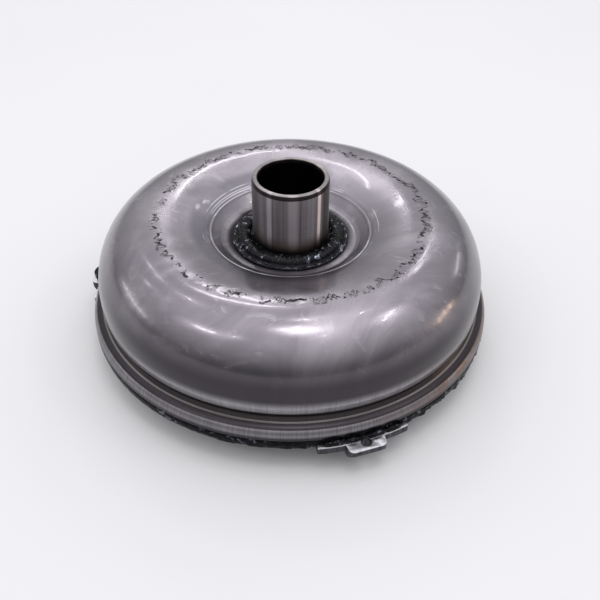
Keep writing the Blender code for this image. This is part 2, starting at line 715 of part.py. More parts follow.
def stator_wheel(parent):
    segments = 2 * STATOR_BLADES
    ring = washer(STATOR_HUB_BORE, STATOR_HUB_RADIUS, STATOR_BOTTOM, STATOR_TOP, segments)
    wheel = add_piece("stator_wheel", ring, "cast_aluminium", parent)
    shroud = washer(STATOR_SHROUD_INNER, STATOR_SHROUD_OUTER, STATOR_BOTTOM + 0.0015,
                    STATOR_TOP - 0.0015, segments)
    vanes = repeated(stator_blade, even_angles(STATOR_BLADES))
    combine(wheel, add_cutter("stator_vane_blanks", vanes), "UNION")
    combine(wheel, add_cutter("stator_shroud_blank", shroud), "UNION")


def clutch_outer_race(parent):
    """Cam race: each pocket is deepest at its spring end and wedges the roller at the other."""
    per_pocket = 10
    segments = per_pocket * ROLLER_COUNT
    ring = washer(CLUTCH_RACE_BORE, CLUTCH_RACE_RADIUS, CLUTCH_BOTTOM, CLUTCH_TOP, segments)
    for vert in ring.verts:
        radius = vert.co.xy.length
        column = round(math.atan2(vert.co.y, vert.co.x) / (2 * math.pi) * segments) % per_pocket
        if abs(radius - CLUTCH_RACE_BORE) < 1e-6 and column < 7:
            depth = CLUTCH_POCKET_DEPTH + 0.00015 * column
            vert.co.xy *= (CLUTCH_RACE_BORE + depth) / CLUTCH_RACE_BORE
    add_piece("clutch_outer_race", ring, "bearing_steel", parent)


def clutch_rollers(parent):
    """Rollers at the narrow end of each pocket, with a folded spring behind each."""
    seat = math.radians(12.5)
    spring_seat = math.radians(26.5)
    for number, angle in enumerate(even_angles(ROLLER_COUNT), start=1):
        rod = cylinder(ROLLER_RADIUS, CLUTCH_BOTTOM + SEAT_GAP, CLUTCH_TOP - SEAT_GAP, 12)
        roller = add_piece(f"clutch_roller_{number}", rod, "bearing_steel", parent, 40.0)
        place = angle + seat
        roller.location = (ROLLER_CIRCLE * math.cos(place), ROLLER_CIRCLE * math.sin(place), 0)
        leaf = add_piece(f"roller_spring_{number}", folded_spring(), "spring_steel", parent)
        place = angle + spring_seat
        leaf.location = ((ROLLER_CIRCLE + 0.0002) * math.cos(place),
                         (ROLLER_CIRCLE + 0.0002) * math.sin(place), 0)
        leaf.rotation_euler.z = place


def folded_spring():
    """A zigzag strip that pushes along its Y direction, seen from above."""
    half_height = 0.0017
    pitch = 0.00125
    slant = 0.0006
    folds = 7
    near = []
    far = []
    for fold in range(folds):
        x = half_height * (1 if fold % 2 else -1)
        y = pitch * (fold - (folds - 1) / 2)
        near.append((x - slant, y))
        far.append((x + slant, y))
    return prism(near + far[::-1], CLUTCH_BOTTOM + 0.0010, CLUTCH_TOP - 0.0010)


def stator_inner_race(parent):
    segments = 48
    ring = washer(INNER_RACE_BORE, INNER_RACE_RADIUS, CLUTCH_BOTTOM - 0.0014, CLUTCH_TOP + 0.0014, segments)
    cut_spline(ring, INNER_RACE_BORE, INNER_RACE_TOOTH_DEPTH, segments)
    add_piece("stator_inner_race", ring, "bearing_steel", parent)


def clutch_plates(parent):
    """Side plates that hold the rollers, and the snap ring that holds the plates."""
    bore = INNER_RACE_RADIUS + 0.0006
    rim = STATOR_HUB_BORE - SEAT_GAP
    lower_top = CLUTCH_BOTTOM - SEAT_GAP
    upper_bottom = CLUTCH_TOP + SEAT_GAP
    lower = washer(bore, rim, lower_top - PLATE_THICKNESS, lower_top, HUB_SEGMENTS)
    upper = washer(bore, rim - 0.0036, upper_bottom, upper_bottom + PLATE_THICKNESS, HUB_SEGMENTS)
    add_piece("clutch_front_plate", lower, "hub_steel", parent)
    add_piece("clutch_rear_plate", upper, "hub_steel", parent)
    ring = prism(sector(rim - 0.0026, rim, math.radians(165), 20), upper_bottom, upper_bottom + 0.0012)
    add_piece("clutch_snap_ring", ring, "spring_steel", parent)


def thrust_rings(housing, stator):
    """Plain thrust washers at the cover and at the turbine hub."""
    face = COVER_FACE_Z + COVER_THICKNESS
    front = washer(0.0130, 0.0232, face + SEAT_GAP, face + 0.0020, HUB_SEGMENTS)
    add_piece("cover_thrust_washer", front, "washer_bronze", housing)
    middle = washer(0.0272, 0.0350, 0.0456, 0.0484, HUB_SEGMENTS)
    add_piece("stator_thrust_washer", middle, "washer_bronze", stator)
    upper = CLUTCH_TOP + 2 * SEAT_GAP + PLATE_THICKNESS
    race = washer(0.0275, 0.0330, upper, upper + 0.0009, HUB_SEGMENTS)
    add_piece("stator_bearing_race", race, "bearing_steel", stator)


def pump_side_bearing(housing, cage_group):
    """Needle thrust bearing between the stator and the pump hub's flange."""
    top = HUB_FLANGE_BOTTOM - SEAT_GAP
    race = washer(0.0225, 0.0330, top - 0.0009, top, HUB_SEGMENTS)
    add_piece("pump_bearing_race", race, "bearing_steel", housing)
    needle_radius = 0.00085
    middle = top - 0.0009 - SEAT_GAP - needle_radius
    count = 12
    ring = washer(0.0230, 0.0325, middle - 0.0004, middle + 0.0004, 2 * count)
    cage = add_piece("pump_bearing_needle_cage", ring, "bearing_steel", cage_group)

    def needle():
        rod = cylinder(needle_radius, 0.0243, 0.0312, 5)
        bmesh.ops.rotate(rod, verts=rod.verts, matrix=Matrix.Rotation(math.pi / 2, 3, "Y"))
        bmesh.ops.translate(rod, verts=rod.verts, vec=(0, 0, middle))
        return rod

    combine(cage, add_cutter("needle_blanks", repeated(needle, even_angles(count))), "UNION")


def build():
    clear_scene()
    housing = add_group("housing")
    impeller_shell(housing)
    impeller_hub(housing)
    hub_weld_bead(housing)
    impeller_blade_ring(housing)
    front_cover(housing)
    crank_pilot(housing)
    closure_weld_bead(housing)
    drive_lugs(housing)
    lug_welds(housing)

    turbine = add_group("turbine", housing)
    turbine_shell(turbine)
    turbine_blade_ring(turbine)
    turbine_hub(turbine)
    turbine_rivets(turbine)
    damper_drive_plate(turbine)
    piston_seal_ring(turbine)

    damper = add_group("damper", turbine)
    spring_retainer(damper)
    damper_springs(damper)

    piston = add_group("piston", damper)
    lockup_piston(piston)
    friction_lining(piston)

    race = add_group("stator_race", housing)
    stator_inner_race(race)
    stator = add_group("stator", race)
    stator_wheel(stator)
    clutch_outer_race(stator)
    clutch_rollers(stator)
    clutch_plates(stator)
    thrust_rings(housing, stator)
    pump_side_bearing(housing, add_group("bearing_cage", housing))


build()
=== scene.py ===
import json
import math

import bmesh
import bpy
from mathutils import Matrix, Vector, noise

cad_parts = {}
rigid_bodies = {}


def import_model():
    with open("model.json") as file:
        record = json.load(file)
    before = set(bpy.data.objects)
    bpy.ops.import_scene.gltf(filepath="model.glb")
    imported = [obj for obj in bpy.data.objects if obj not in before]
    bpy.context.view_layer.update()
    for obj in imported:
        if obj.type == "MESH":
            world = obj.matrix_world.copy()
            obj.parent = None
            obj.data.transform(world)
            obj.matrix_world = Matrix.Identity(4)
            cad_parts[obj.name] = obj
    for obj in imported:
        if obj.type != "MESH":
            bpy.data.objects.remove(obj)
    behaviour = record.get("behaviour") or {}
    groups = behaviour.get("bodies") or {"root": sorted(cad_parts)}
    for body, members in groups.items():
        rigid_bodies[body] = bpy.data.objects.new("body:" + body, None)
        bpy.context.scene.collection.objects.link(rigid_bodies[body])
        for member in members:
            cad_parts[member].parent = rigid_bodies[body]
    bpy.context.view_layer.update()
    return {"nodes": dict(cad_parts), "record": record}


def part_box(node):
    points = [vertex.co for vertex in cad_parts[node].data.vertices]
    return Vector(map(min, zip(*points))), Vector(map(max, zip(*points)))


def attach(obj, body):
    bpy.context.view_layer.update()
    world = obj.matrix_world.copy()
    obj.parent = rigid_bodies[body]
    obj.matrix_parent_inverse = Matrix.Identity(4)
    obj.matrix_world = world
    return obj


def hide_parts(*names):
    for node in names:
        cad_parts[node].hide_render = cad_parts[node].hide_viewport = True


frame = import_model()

# Places read from the frame, in metres; heights are along the shaft axis
SHELL_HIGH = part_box("impeller_shell")[1]
HUB_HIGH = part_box("impeller_hub")[1]
COVER_LOW, COVER_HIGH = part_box("front_cover")
PILOT_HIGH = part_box("crank_pilot")[1]
BEAD_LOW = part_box("hub_weld_bead")[0]
CLOSURE_LOW, CLOSURE_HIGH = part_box("closure_weld_bead")
LUG_LOW, LUG_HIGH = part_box("drive_lug_1")

# Gap that a seated piece keeps to the piece under it
SEAT_GAP = 0.0003

# Pump hub
HUB_TOP = HUB_HIGH.z
HUB_RADIUS = 0.0238
HUB_BORE = 0.0203
HUB_RIM_RADIUS = 0.0230
HUB_CHAMFER_HEIGHT = 0.0023
HUB_FLANGE_RADIUS = 0.0342
HUB_FLANGE_TOP = 0.0717
HUB_FLANGE_BOTTOM = 0.0660
# Heights between which the painted shade at the hub's foot and the weld's heat tint fade out on the tube
HUB_FOOT_SHADE = (0.0750, 0.0820)
HUB_TINT = (0.0790, 0.0880)
# Lengthwise streaks of painted reflection: middle and half width in degrees, soft edge, strength, colour
HUB_PAINTED_REFLECTIONS = [(-121.6, 2.0, 4.0, 0.8, (0.50, 0.48, 0.50)), (-86.0, 4.0, 9.0, 0.6, (0.40, 0.37, 0.38)),
               (-43.2, 2.2, 2.0, 0.95, (0.95, 0.84, 0.80)), (-58.0, 3.0, 5.0, 0.4, (0.42, 0.39, 0.40)),
               (-24.0, 8.0, 6.0, 0.8, (0.05, 0.045, 0.045)), (-158.0, 6.0, 8.0, 0.7, (0.06, 0.055, 0.06)),
               (35.0, 3.0, 6.0, 0.7, (0.50, 0.48, 0.49)), (110.0, 4.0, 8.0, 0.7, (0.48, 0.45, 0.46))]

# Impeller shell
SHELL_THICKNESS = 0.0030
SHELL_HOLE_RADIUS = 0.0345
FLOOR_Z = BEAD_LOW.z - SEAT_GAP
FLOOR_RADIUS = 0.0415
RING_RADIUS = 0.0499
RING_Z = 0.0785
CROWN_RADIUS = 0.0870
CROWN_Z = SHELL_HIGH.z
BULGE_RADIUS = 0.1230
BULGE_Z = 0.0485
GROOVE_RADIUS = 0.1206
GROOVE_TOP_Z = 0.0372
GROOVE_BOTTOM_Z = 0.0356
STEP_RADIUS = 0.1223
STEP_Z = 0.0333
RIM_RADIUS = 0.1289
RIM_Z = 0.0264
RIM_END_Z = 0.0249
RIM_INSIDE_RADIUS = 0.1257
TAB_MARK_RADIUS = 0.0837
BLADE_TABS = 25

# Weld at the hub
BEAD_FOOT_Z = BEAD_LOW.z
BEAD_RADIUS = 0.0366
BEAD_LIP = (0.0352, 0.0356)
BEAD_RIPPLES = 78

# Front cover, with a shallow pressed ring in its face
COVER_FACE_Z = COVER_LOW.z
COVER_RADIUS = COVER_HIGH.x
COVER_THICKNESS = 0.0030
COVER_CORNER = 0.0100
COVER_RING = (0.0455, 0.0480, 0.0955, 0.0980)
COVER_RING_DEPTH = 0.0011

# Drive lugs
LUG_FIRST_ANGLE = -70.3
LUG_ANGLES = [math.radians(LUG_FIRST_ANGLE + 120 * k) for k in range(3)]
LUG_INNER_RADIUS = 0.1160
LUG_LEDGE_RADIUS = 0.1318
LUG_HALF_ANGLE = math.radians(12.0)
LUG_BEVEL_RADIUS = 0.1285
LUG_BEVEL_TOP = 0.0165
LUG_TAB_ROOT = 0.1175
LUG_TAB_RADIUS = 0.1380
LUG_TAB_HALF_WIDTH = 0.0115
LUG_TAB_CORNER = 0.0035
LUG_TAB_STEP = 0.0004
LUG_TAB_UNDERCUT = 0.1340
LUG_TAB_UNDERCUT_TOP = 0.0172
LUG_HOLE_CIRCLE = 0.1328
LUG_HOLE_RADIUS = 0.0033
LUG_WELD_RADIUS = 0.1294
# Weld on each lug: thickness of a lobe, lobes, half angle and shift round the axis in degrees
LUG_WELDS = [(0.0013, 4, 11.5, 0.0), (0.0020, 4, 11.5, 0.0), (0.0029, 3, 9.5, -3.5)]

TURNED_SEGMENTS = 480

# Studio; the camera's angles are in degrees
FLOOR_HALF_WIDTH = 30.0
LIGHT_DISTANCE = 1.4
CAMERA_PLACE = (0.006614, -0.415679, 0.369183)
CAMERA_TILT = 49.856
CAMERA_ROLL = 0.815
CAMERA_LENS = 48.0


# Mesh tools

def arc(centre, reach, start, end, steps):
    """Points on an ellipse arc; reach is its half width and half height, angles in degrees."""
    points = []
    for step in range(steps + 1):
        angle = math.radians(start + (end - start) * step / steps)
        points.append((centre[0] + reach[0] * math.cos(angle), centre[1] + reach[1] * math.sin(angle)))
    return points


def rounded(corners):
    """A closed outline with its corners eased; each corner is (radius, height, fillet)."""
    points = []
    for k, (radius, height, fillet) in enumerate(corners):
        here = Vector((radius, height))
        if not fillet:
            points.append(tuple(here))
            continue
        back = Vector(corners[k - 1][:2]) - here
        ahead = Vector(corners[(k + 1) % len(corners)][:2]) - here
        cut = min(fillet / math.tan(back.angle(ahead) / 2), 0.45 * back.length, 0.45 * ahead.length)
        start = here + back.normalized() * cut
        end = here + ahead.normalized() * cut
        for step in range(6):
            t = step / 5
            points.append(tuple((1 - t) ** 2 * start + 2 * t * (1 - t) * here + t * t * end))
    return points


def with_fillet(points, fillet=0.0):
    """Give every point of a plain outline the same fillet."""
    return [(x, y, fillet) for x, y in points]


def split(points, spacing):
    """Add points along the long sides of a closed outline."""
    fine = []
    for (x0, y0), (x1, y1) in zip(points, points[1:] + points[:1]):
        pieces = max(1, round(math.hypot(x1 - x0, y1 - y0) / spacing))
        fine += [(x0 + (x1 - x0) * k / pieces, y0 + (y1 - y0) * k / pieces) for k in range(pieces)]
    return fine


def add_piece(name, mesh, body, replaced, sharp=40.0):
    """Link a mesh as a smooth-shaded piece that rides on a body and stands for a CAD node."""
    mesh.shade_smooth()
    mesh.set_sharp_from_angle(angle=math.radians(sharp))
    piece = bpy.data.objects.new(name, mesh)
    bpy.context.scene.collection.objects.link(piece)
    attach(piece, body)
    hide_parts(replaced)
    return piece


def turned(name, outline, segments, shift=None):
    """Mesh of an outline of (radius, height) spun round the shaft axis.

    shift(radius, height, angle) moves a point and returns its new radius and height.
    """
    verts = []
    for column in range(segments):
        angle = 2 * math.pi * column / segments
        cosine, sine = math.cos(angle), math.sin(angle)
        for radius, height in outline:
            if shift:
                radius, height = shift(radius, height, angle)
            verts.append((radius * cosine, radius * sine, height))
    rows = len(outline)
    faces = []
    for column in range(segments):
        here = column * rows
        there = (column + 1) % segments * rows
        for row in range(rows):
            after = (row + 1) % rows
            faces.append((here + row, there + row, there + after, here + after))
    mesh = bpy.data.meshes.new(name)
    mesh.from_pydata(verts, [], faces)
    bm = bmesh.new()
    bm.from_mesh(mesh)
    bmesh.ops.remove_doubles(bm, verts=bm.verts, dist=1e-7)
    bmesh.ops.recalc_face_normals(bm, faces=bm.faces)
    bm.to_mesh(mesh)
    bm.free()
    return mesh


def ring_noise(angle, waves, seed):
    """Smooth noise from -1 to 1 round a ring, without a seam."""
    return noise.noise((waves * math.cos(angle), waves * math.sin(angle), seed))


def bump(value, centre, width):
    """A bell curve."""
    return math.exp(-((value - centre) / width) ** 2)


# Housing pieces

def crown_arc(offset, inner_end, steps):
    """The dish side of the impeller shell, from a given radius out to the crown."""
    rise = CROWN_Z - RING_Z
    run = CROWN_RADIUS - RING_RADIUS
    radius = (run * run + rise * rise) / (2 * rise)
    reach = radius - offset
    start = 90 + math.degrees(math.asin((CROWN_RADIUS - inner_end) / reach))
    return arc((CROWN_RADIUS, CROWN_Z - radius), (reach, reach), start, 90, steps)


def outer_arc(offset, steps):
    """The outer side of the impeller shell, from the crown down to the bulge."""
    reach = (BULGE_RADIUS - CROWN_RADIUS - offset, CROWN_Z - BULGE_Z - offset)
    return arc((CROWN_RADIUS, BULGE_Z), reach, 90, 0, steps)


def press_marks(radius, height, angle):
    """Dents over the blade tabs and the slight unevenness of a pressed shell."""
    if height < 0.060:
        return radius, height
    place = angle * BLADE_TABS / (2 * math.pi)
    depth = 0.00006 + 0.00009 * (0.5 + ring_noise(angle, 9.0, 3.0))
    near = bump(place - round(place), 0.0, 0.20)
    dent = depth * near * bump(radius, TAB_MARK_RADIUS, 0.0030)
    swell = 0.00005 * noise.noise((radius * 40 * math.cos(angle), radius * 40 * math.sin(angle), 7.0))
    return radius, height - dent + swell


def impeller_shell():
    crease = [(RING_RADIUS - 0.0012, RING_Z - 0.0010, 0.0004),
              (RING_RADIUS - 0.0004, RING_Z - 0.0001, 0.0002),
              (RING_RADIUS + 0.0002, RING_Z + 0.0002, 0.0002),
              (RING_RADIUS + 0.0010, RING_Z + 0.00015, 0.0004)]
    outside = [(SHELL_HOLE_RADIUS, FLOOR_Z, 0.0003), (FLOOR_RADIUS, FLOOR_Z, 0.0040),
               (0.0440, 0.0735, 0.0040)]
    outside += crease
    outside += with_fillet(crown_arc(0.0, RING_RADIUS + 0.0022, 36))
    outside += with_fillet(outer_arc(0.0, 44)[1:])
    outside += [(BULGE_RADIUS, 0.0440, 0.0030), (STEP_RADIUS, 0.0398, 0.0012),
                (GROOVE_RADIUS, GROOVE_TOP_Z, 0.0006), (GROOVE_RADIUS, GROOVE_BOTTOM_Z, 0.0004),
                (STEP_RADIUS, STEP_Z + 0.0001, 0.00025)]
    rim_reach = (RIM_RADIUS - STEP_RADIUS, STEP_Z - RIM_Z)
    outside += with_fillet(arc((STEP_RADIUS, RIM_Z), rim_reach, 62, 0, 12))
    outside += [(RIM_RADIUS, RIM_END_Z, 0.0004)]
    under_floor = FLOOR_Z - SHELL_THICKNESS
    inside = [(SHELL_HOLE_RADIUS, under_floor, 0.0003), (0.0435, under_floor, 0.0020)]
    inside += with_fillet(crown_arc(SHELL_THICKNESS, 0.0515, 12))
    inside += with_fillet(outer_arc(SHELL_THICKNESS, 18)[1:])
    inside += [(0.1176, 0.0365, 0.0010), (0.1182, 0.0330, 0.0010), (0.1256, 0.0280, 0.0010),
               (RIM_INSIDE_RADIUS, RIM_END_Z, 0.0003)]
    outline = split(rounded(outside + inside[::-1]), 0.0012)
    mesh = turned("shell_body", outline, TURNED_SEGMENTS, press_marks)
    shell = add_piece("shell_body", mesh, "housing", "impeller_shell")
    shell.data.materials.append(pressed_steel())


def impeller_hub():
    corners = [(HUB_BORE, HUB_FLANGE_BOTTOM, 0.0003), (HUB_FLANGE_RADIUS, HUB_FLANGE_BOTTOM, 0.0004),
               (HUB_FLANGE_RADIUS, HUB_FLANGE_TOP, 0.0004), (HUB_RADIUS, HUB_FLANGE_TOP, 0.0006),
               (HUB_RADIUS, HUB_TOP - HUB_CHAMFER_HEIGHT, 0.0005), (HUB_RIM_RADIUS, HUB_TOP, 0.0006),
               (HUB_BORE + 0.0004, HUB_TOP, 0.0003), (HUB_BORE, HUB_TOP - 0.0008, 0.0003)]
    mesh = turned("hub_tube", split(rounded(corners), 0.0020), 256)
    hub = add_piece("hub_tube", mesh, "housing", "impeller_hub")
    hub.data.materials.append(ground_steel())


def bead_ripples(radius, height, angle):
    """Weld ripples, lumps and a wavering lip on the ring round the pump hub."""
    lift = max(0.0, height - BEAD_FOOT_Z - 0.0002) / 0.0047
    lean = (radius - 0.0295) * 260
    ripple = math.sin(BEAD_RIPPLES * angle + lean + 2.5 * ring_noise(angle, 4.0, 1.0))
    lumps = ring_noise(angle, 7.0, 5.0 + 200 * radius)
    height += lift * (0.00026 * ripple + 0.00065 * lumps)
    if radius > HUB_RADIUS + 0.001:
        radius += 0.00035 * ring_noise(angle, 6.0, 9.0) + 0.00010 * ripple * lift
    return radius, height


def hub_weld_bead():
    foot = BEAD_FOOT_Z
    inner = HUB_RADIUS + SEAT_GAP
    corners = [(inner, foot, 0.0), (BEAD_RADIUS, foot, 0.0003), (BEAD_RADIUS, foot + 0.0009, 0.0004),
               (0.0355, foot + 0.0012, 0.0004), (0.0345, foot + 0.0007, 0.0004)]
    corners += with_fillet(arc((0.0293, foot + 0.0018), (0.0041, 0.0031), 0, 168, 22))
    corners += [(inner, foot + 0.0022, 0.0)]
    mesh = turned("hub_weld_ring", split(rounded(corners), 0.0007), TURNED_SEGMENTS, bead_ripples)
    bead = add_piece("hub_weld_ring", mesh, "housing", "hub_weld_bead", 70.0)
    bead.data.materials.append(burnt_weld("hub_weld_scale", 0.12))


def closure_lumps(radius, height, angle):
    """A weld run that is even on one side and lumpy on the other."""
    if radius < COVER_RADIUS + 0.0006:
        return radius, height
    uneven = 0.5 + 0.5 * math.cos(angle - math.radians(-28))
    strength = 0.00012 + 0.00105 * uneven ** 3
    lump = ring_noise(angle, 26.0, height * 300)
    drip = ring_noise(angle, 60.0, 4.0 + height * 500)
    low = (CLOSURE_HIGH.z - height) / (CLOSURE_HIGH.z - CLOSURE_LOW.z)
    radius += strength * low * (1.1 * lump + 0.5 * drip)
    height -= strength * low * low * (1.4 * max(0.0, lump) + 0.5 * drip)
    return radius, height


def closure_weld():
    top = CLOSURE_HIGH.z
    corners = [(COVER_RADIUS + SEAT_GAP, top, 0.0), (RIM_RADIUS - 0.0004, top, 0.0003),
               (RIM_RADIUS, 0.0232, 0.0010), (RIM_RADIUS - 0.0001, 0.0205, 0.0010), (0.1281, 0.0182, 0.0012),
               (0.1266, 0.0171, 0.0008), (0.1240, 0.0190, 0.0004), (COVER_RADIUS + 0.0001, 0.0220, 0.0004)]
    mesh = turned("closure_weld_ring", split(rounded(corners), 0.0006), 2 * TURNED_SEGMENTS, closure_lumps)
    bead = add_piece("closure_weld_ring", mesh, "housing", "closure_weld_bead", 70.0)
    bead.data.materials.append(burnt_weld("closure_weld_scale", 0.06))


def cover_corner(offset, steps):
    """The cover's outer corner, from the wall down to the flat face."""
    reach = COVER_CORNER + offset
    centre = (COVER_RADIUS - COVER_CORNER, COVER_FACE_Z + COVER_CORNER)
    return arc(centre, (reach, reach), 0, -90, steps)


def front_cover():
    """The cover; the ring pressed into its face is set back by a millimetre."""
    inner_face = COVER_FACE_Z + COVER_THICKNESS
    set_back = COVER_FACE_Z + COVER_RING_DEPTH
    ring_start, ring_floor_start, ring_floor_end, ring_end = COVER_RING
    near_axis = 0.0005
    corners = [(near_axis, inner_face, 0.0)] + with_fillet(cover_corner(-COVER_THICKNESS, 14)[::-1])
    corners += [(COVER_RADIUS - COVER_THICKNESS, COVER_HIGH.z, 0.0004), (COVER_RADIUS, COVER_HIGH.z, 0.0004)]
    corners += with_fillet(cover_corner(0.0, 18))
    corners += [(ring_end, COVER_FACE_Z, 0.0020), (ring_floor_end, set_back, 0.0020),
                (ring_floor_start, set_back, 0.0020), (ring_start, COVER_FACE_Z, 0.0020),
                (near_axis, COVER_FACE_Z, 0.0)]
    mesh = turned("cover_pan", split(rounded(corners), 0.0025), TURNED_SEGMENTS)
    cover = add_piece("cover_pan", mesh, "housing", "front_cover")
    cover.data.materials.append(cover_steel())


def crank_pilot():
    """The pilot boss, with a turned centre drilling in its end."""
    top = PILOT_HIGH.z
    radius = PILOT_HIGH.x - 0.002
    corners = [(0.0003, top, 0.0), (radius + 0.002, top, 0.0003), (radius + 0.002, top - 0.002, 0.0004),
               (radius, top - 0.002, 0.0006), (radius, 0.0015, 0.0004), (radius - 0.0015, 0.0, 0.0004),
               (0.0035, 0.0, 0.0002), (0.0012, 0.0024, 0.0001), (0.0003, 0.0028, 0.0)]
    mesh = turned("pilot_boss", split(rounded(corners), 0.0020), 192)
    pilot = add_piece("pilot_boss", mesh, "housing", "crank_pilot")
    pilot.data.materials.append(ground_steel("pilot_ground_steel", False))


def plate(outline, bottom, top):
    """An upright prism on a flat outline, as a bmesh."""
    bm = bmesh.new()
    face = bm.faces.new([bm.verts.new((x, y, bottom)) for x, y in outline])
    raised = bmesh.ops.extrude_face_region(bm, geom=[face])["geom"]
    bmesh.ops.translate(bm, verts=[v for v in raised if isinstance(v, bmesh.types.BMVert)],
                        vec=(0, 0, top - bottom))
    bmesh.ops.recalc_face_normals(bm, faces=bm.faces)
    return bm


def mesh_from(name, bm):
    mesh = bpy.data.meshes.new(name)
    bm.to_mesh(mesh)
    bm.free()
    return mesh


def combined(name, mesh, steps, bevel):
    """Apply Boolean steps of (operation, mesh) to a mesh and ease its edges."""
    scene_objects = bpy.context.scene.collection.objects
    blank = bpy.data.objects.new(name + "_blank", mesh)
    scene_objects.link(blank)
    helpers = []
    for number, (operation, other) in enumerate(steps):
        helper = bpy.data.objects.new(f"{name}_helper_{number}", other)
        scene_objects.link(helper)
        helpers.append(helper)
        boolean = blank.modifiers.new("combine", "BOOLEAN")
        boolean.operation = operation
        boolean.object = helper
    ease = blank.modifiers.new("ease", "BEVEL")
    ease.width = bevel
    ease.segments = 3
    ease.limit_method = "ANGLE"
    ease.angle_limit = math.radians(40)
    depsgraph = bpy.context.evaluated_depsgraph_get()
    finished = bpy.data.meshes.new_from_object(blank.evaluated_get(depsgraph))
    for thing in [blank] + helpers:
        bpy.data.objects.remove(thing, do_unlink=True)
    finished.name = name
    return finished


def lug_tab(bottom, top):
    """The rounded tab of one lug on +X."""
    flat = LUG_TAB_HALF_WIDTH - LUG_TAB_CORNER
    tip = LUG_TAB_RADIUS - LUG_TAB_CORNER
    reach = (LUG_TAB_CORNER, LUG_TAB_CORNER)
    outline = [(LUG_TAB_ROOT, -LUG_TAB_HALF_WIDTH)] + arc((tip, -flat), reach, -90, 0, 8)
    outline += arc((tip, flat), reach, 0, 90, 8) + [(LUG_TAB_ROOT, LUG_TAB_HALF_WIDTH)]
    return mesh_from("tab", plate(outline, bottom, top))


def drive_lugs():
    """Each lug is a ring segment with a rounded tab, cut to sit on the cover's corner."""
    low = LUG_LOW.z - 0.002
    far = LUG_TAB_RADIUS + 0.01
    undercut = [(LUG_BEVEL_RADIUS, low), (far, low), (far, LUG_BEVEL_TOP),
                (LUG_LEDGE_RADIUS + 0.0002, LUG_BEVEL_TOP), (LUG_BEVEL_RADIUS, LUG_LOW.z)]
    tab_undercut = [(LUG_TAB_UNDERCUT, low), (far, low), (far, LUG_TAB_UNDERCUT_TOP),
                    (LUG_TAB_RADIUS + 0.0001, LUG_TAB_UNDERCUT_TOP), (LUG_TAB_UNDERCUT, LUG_LOW.z)]
    # The rim, the closure weld and the cover's corner, each with a little clearance
    nest = [(0.1000, 0.0400), (0.1293, 0.0400), (0.1293, 0.0186), (0.1276, 0.0165), (0.1248, 0.0168)]
    nest += cover_corner(0.0004, 18)[8:] + [(0.1000, COVER_FACE_Z - 0.0004)]
    span = math.degrees(LUG_HALF_ANGLE)
    axis = (0.0, 0.0)
    root = arc(axis, (LUG_LEDGE_RADIUS, LUG_LEDGE_RADIUS), -span, span, 32)
    root += arc(axis, (LUG_INNER_RADIUS, LUG_INNER_RADIUS), span, -span, 32)
    hole = arc((LUG_HOLE_CIRCLE, 0.0), (LUG_HOLE_RADIUS, LUG_HOLE_RADIUS), 0, 352.5, 47)
    steel = lug_steel()
    for number, angle in enumerate(LUG_ANGLES, start=1):
        blank = mesh_from("blank", plate(root, LUG_LOW.z + LUG_TAB_STEP, LUG_HIGH.z))
        drill = mesh_from("drill", plate(hole, low, LUG_HIGH.z + 0.002))
        steps = [("DIFFERENCE", turned("undercut", undercut, 240)),
                 ("UNION", lug_tab(LUG_LOW.z, LUG_HIGH.z - LUG_TAB_STEP)),
                 ("DIFFERENCE", turned("tab_undercut", tab_undercut, 240)),
                 ("DIFFERENCE", turned("nest", nest, 240)), ("DIFFERENCE", drill)]
        mesh = combined(f"lug_{number}", blank, steps, 0.0004)
        mesh.transform(Matrix.Rotation(angle, 4, "Z"))
        lug = add_piece(f"lug_block_{number}", mesh, "housing", f"drive_lug_{number}")
        lug.data.materials.clear()
        lug.data.materials.append(steel)


def lug_welds():
    """Lobed runs of weld along the root of each lug."""
    scale = burnt_weld("lug_weld_scale", 0.10)
    steps = 120
    sides = 20
    foot = LUG_HIGH.z + SEAT_GAP
    for number, (thick, lobes, half_angle, shift) in enumerate(LUG_WELDS, start=1):
        middle = LUG_ANGLES[number - 1] + math.radians(shift)
        bm = bmesh.new()
        rings = []
        for step in range(steps + 1):
            share = step / steps
            along = math.radians(half_angle) * (2 * share - 1)
            taper = min(1.0, 6 * share, 6 * (1 - share)) ** 0.5 if 0 < step < steps else 0.15
            lobe = abs(math.sin(math.pi * (lobes * share + 0.30 * noise.noise((6 * share, number, 0.0)))))
            size = taper * (0.55 + 0.75 * lobe)
            ring = []
            for side in range(sides):
                turn = 2 * math.pi * side / sides
                out = thick * size * (1 + math.cos(turn))
                up = thick * size * (1 + math.sin(turn))
                rough = 0.00025 * noise.noise((40 * share, 2 * math.cos(turn), number + 2 * math.sin(turn)))
                radius = LUG_WELD_RADIUS + out + rough
                x = radius * math.cos(middle + along)
                y = radius * math.sin(middle + along)
                ring.append(bm.verts.new((x, y, foot + up + rough)))
            rings.append(ring)
        for first, second in zip(rings, rings[1:]):
            for k in range(sides):
                after = (k + 1) % sides
                bm.faces.new((first[k], first[after], second[after], second[k]))
        bm.faces.new(rings[0])
        bm.faces.new(rings[-1])
        bmesh.ops.recalc_face_normals(bm, faces=bm.faces)
        name = f"lug_weld_{number}"
        weld = add_piece(name, mesh_from(name, bm), "housing", f"drive_{name}", 70.0)
        weld.data.materials.append(scale)


# Materials

